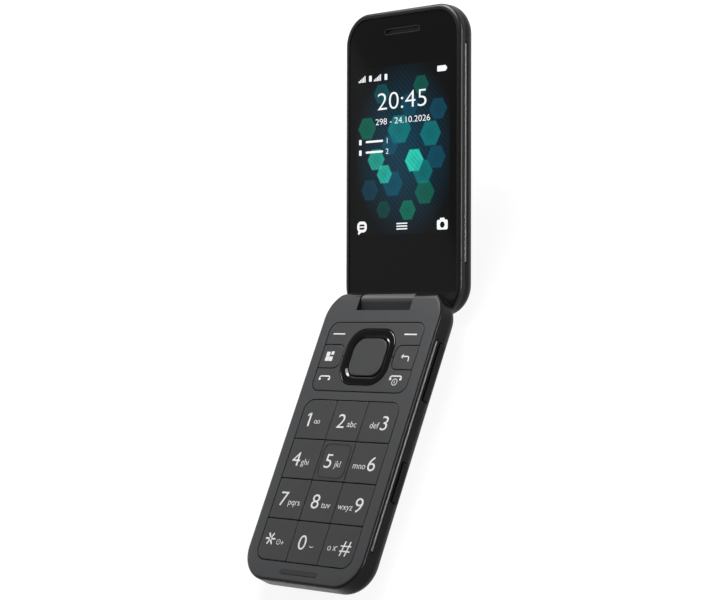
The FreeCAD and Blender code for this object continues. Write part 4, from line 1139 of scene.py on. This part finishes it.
FLOOR_TILT_DEGREES = -3.168
FLOOR_FOOT_MM = (0, -49.5, 0)
FLOOR_SIDE = 8.0
FLOOR_SEEN = 0.90
FLOOR_IN_GLOSS = 0.40
HORIZON = (0.10, 0.40)
DIM_SKY = 0.13
FILL = 0.11
PHONE_MIDDLE = Vector((0.0, 0.047, 0.020))
CAMERA_AIM = Vector((-0.0013, 0.0449, 0.0204))
CAMERA_TOWARDS = Vector((0.691, -0.317, 0.650))
CAMERA_UP = Vector((0.0074, 0.9015, 0.4327))
CAMERA_DISTANCE = 0.662
VIEW_WIDTH = 0.2475
SENSOR_MM = 36.0

# Each soft box: the way to it from the phone, its distance, width and height, and its power in watts
SOFT_BOXES = [
    ("key_light", (-0.15, 0.66, 0.74), 0.30, 0.24, 0.20, 0.98),
    ("left_card", (-0.97, 0.03, 0.22), 0.9, 0.24, 0.16, 1.1),
    ("back_card", (-0.27, 0.74, 0.62), 1.0, 0.25, 0.20, 2.6),
    ("right_strip", (0.95, 0.10, 0.24), 0.7, 0.60, 0.06, 2.8),
    ("window_card", (-0.80, -0.20, 0.565), 1.0, 0.60, 0.40, 0.12),
    ("under_light", (-0.72, -0.20, -0.66), 0.8, 0.50, 0.50, 8.5),
]


def in_gloss(tree, seen):
    """Whether a surface is seen in a reflection or through glass."""
    return number(tree, "MAXIMUM", seen.outputs["Is Glossy Ray"], seen.outputs["Is Transmission Ray"])


def floor_white(name):
    """Near-white floor that keeps a faint shadow, shows dimmer in gloss, and is clear from below."""
    made, tree, shader = new_finish(name)
    cloud = noise(tree, object_place(tree), 400.0)
    set_socket(tree, shader.inputs["Base Color"], blend_colours(tree, cloud, grey(0.16), grey(0.17)))
    shader.inputs["Roughness"].default_value = 0.9
    shader.inputs["Specular IOR Level"].default_value = 0.0
    shader.inputs["Emission Color"].default_value = grey(1.0)
    seen = add_node(tree, "ShaderNodeLightPath", {})
    plain = number(tree, "MULTIPLY", seen.outputs["Is Camera Ray"], FLOOR_SEEN)
    mirrored = number(tree, "MULTIPLY", in_gloss(tree, seen), FLOOR_IN_GLOSS)
    set_socket(tree, shader.inputs["Emission Strength"], number(tree, "ADD", plain, mirrored))
    clear = add_node(tree, "ShaderNodeBsdfTransparent", {})
    under = add_node(tree, "ShaderNodeNewGeometry", {}).outputs["Backfacing"]
    sided = add_node(tree, "ShaderNodeMixShader", {0: under, 1: shader.outputs[0], 2: clear.outputs[0]})
    set_socket(tree, tree.nodes["Material Output"].inputs["Surface"], sided.outputs[0])
    return made


def make_floor():
    """A pale floor on which the open phone rests at its foot and at the lid's hinge end."""
    shape = bmesh.new()
    bmesh.ops.create_grid(shape, x_segments=1, y_segments=1, size=FLOOR_SIDE / 2)
    rest = millimetres(*FLOOR_FOOT_MM) @ Matrix.Rotation(math.radians(FLOOR_TILT_DEGREES), 4, "X")
    bmesh.ops.transform(shape, matrix=rest, verts=shape.verts)
    made = bpy.data.meshes.new("floor")
    shape.to_mesh(made)
    shape.free()
    made.materials.append(floor_white("floor_white"))
    floor = add_object("floor", made)
    floor.visible_shadow = False


def make_world():
    """A studio that is white round the horizon and dim above and below, with plain soft fill light."""
    world = bpy.data.worlds.new("studio")
    bpy.context.scene.world = world
    world.use_nodes = True
    tree = world.node_tree
    ground = tree.nodes["Background"]
    way = add_node(tree, "ShaderNodeTexCoord", {}).outputs["Generated"]
    height = add_node(tree, "ShaderNodeSeparateXYZ", {0: way}).outputs["Z"]
    off_level = rescale(tree, number(tree, "ABSOLUTE", height), 0.0, 1.0, *HORIZON)
    mirrored = blend_colours(tree, off_level, grey(1.0), grey(DIM_SKY))
    seen = add_node(tree, "ShaderNodeLightPath", {})
    light = blend_colours(tree, in_gloss(tree, seen), grey(FILL), mirrored)
    shown = blend_colours(tree, seen.outputs["Is Camera Ray"], light, grey(1.0))
    set_socket(tree, ground.inputs["Color"], shown)
    ground.inputs["Strength"].default_value = 1.0


def make_soft_box(name, towards, distance, width, height, power):
    """A rectangular soft light that looks at the phone."""
    lamp = bpy.data.lights.new(name, "AREA")
    lamp.shape = "RECTANGLE"
    lamp.size = width
    lamp.size_y = height
    lamp.energy = power
    holder = add_object(name, lamp)
    direction = Vector(towards).normalized()
    holder.location = PHONE_MIDDLE + direction * distance
    holder.rotation_mode = "QUATERNION"
    holder.rotation_quaternion = (-direction).to_track_quat("-Z", "Y")


def make_camera():
    """A long lens at the photograph's viewing angle."""
    data = bpy.data.cameras.new("camera")
    data.sensor_width = SENSOR_MM
    data.lens = SENSOR_MM * CAMERA_DISTANCE / VIEW_WIDTH
    data.clip_start = 0.05
    data.clip_end = 50.0
    camera = add_object("camera", data)
    back = CAMERA_TOWARDS.normalized()
    right = CAMERA_UP.cross(back).normalized()
    up = back.cross(right)
    turn = Matrix((right, up, back)).transposed()
    camera.matrix_world = Matrix.Translation(CAMERA_AIM + back * CAMERA_DISTANCE) @ turn.to_4x4()
    bpy.context.scene.camera = camera


make_floor()
make_world()
for soft_box in SOFT_BOXES:
    make_soft_box(*soft_box)
make_camera()
bpy.context.scene.view_settings.view_transform = "Standard"
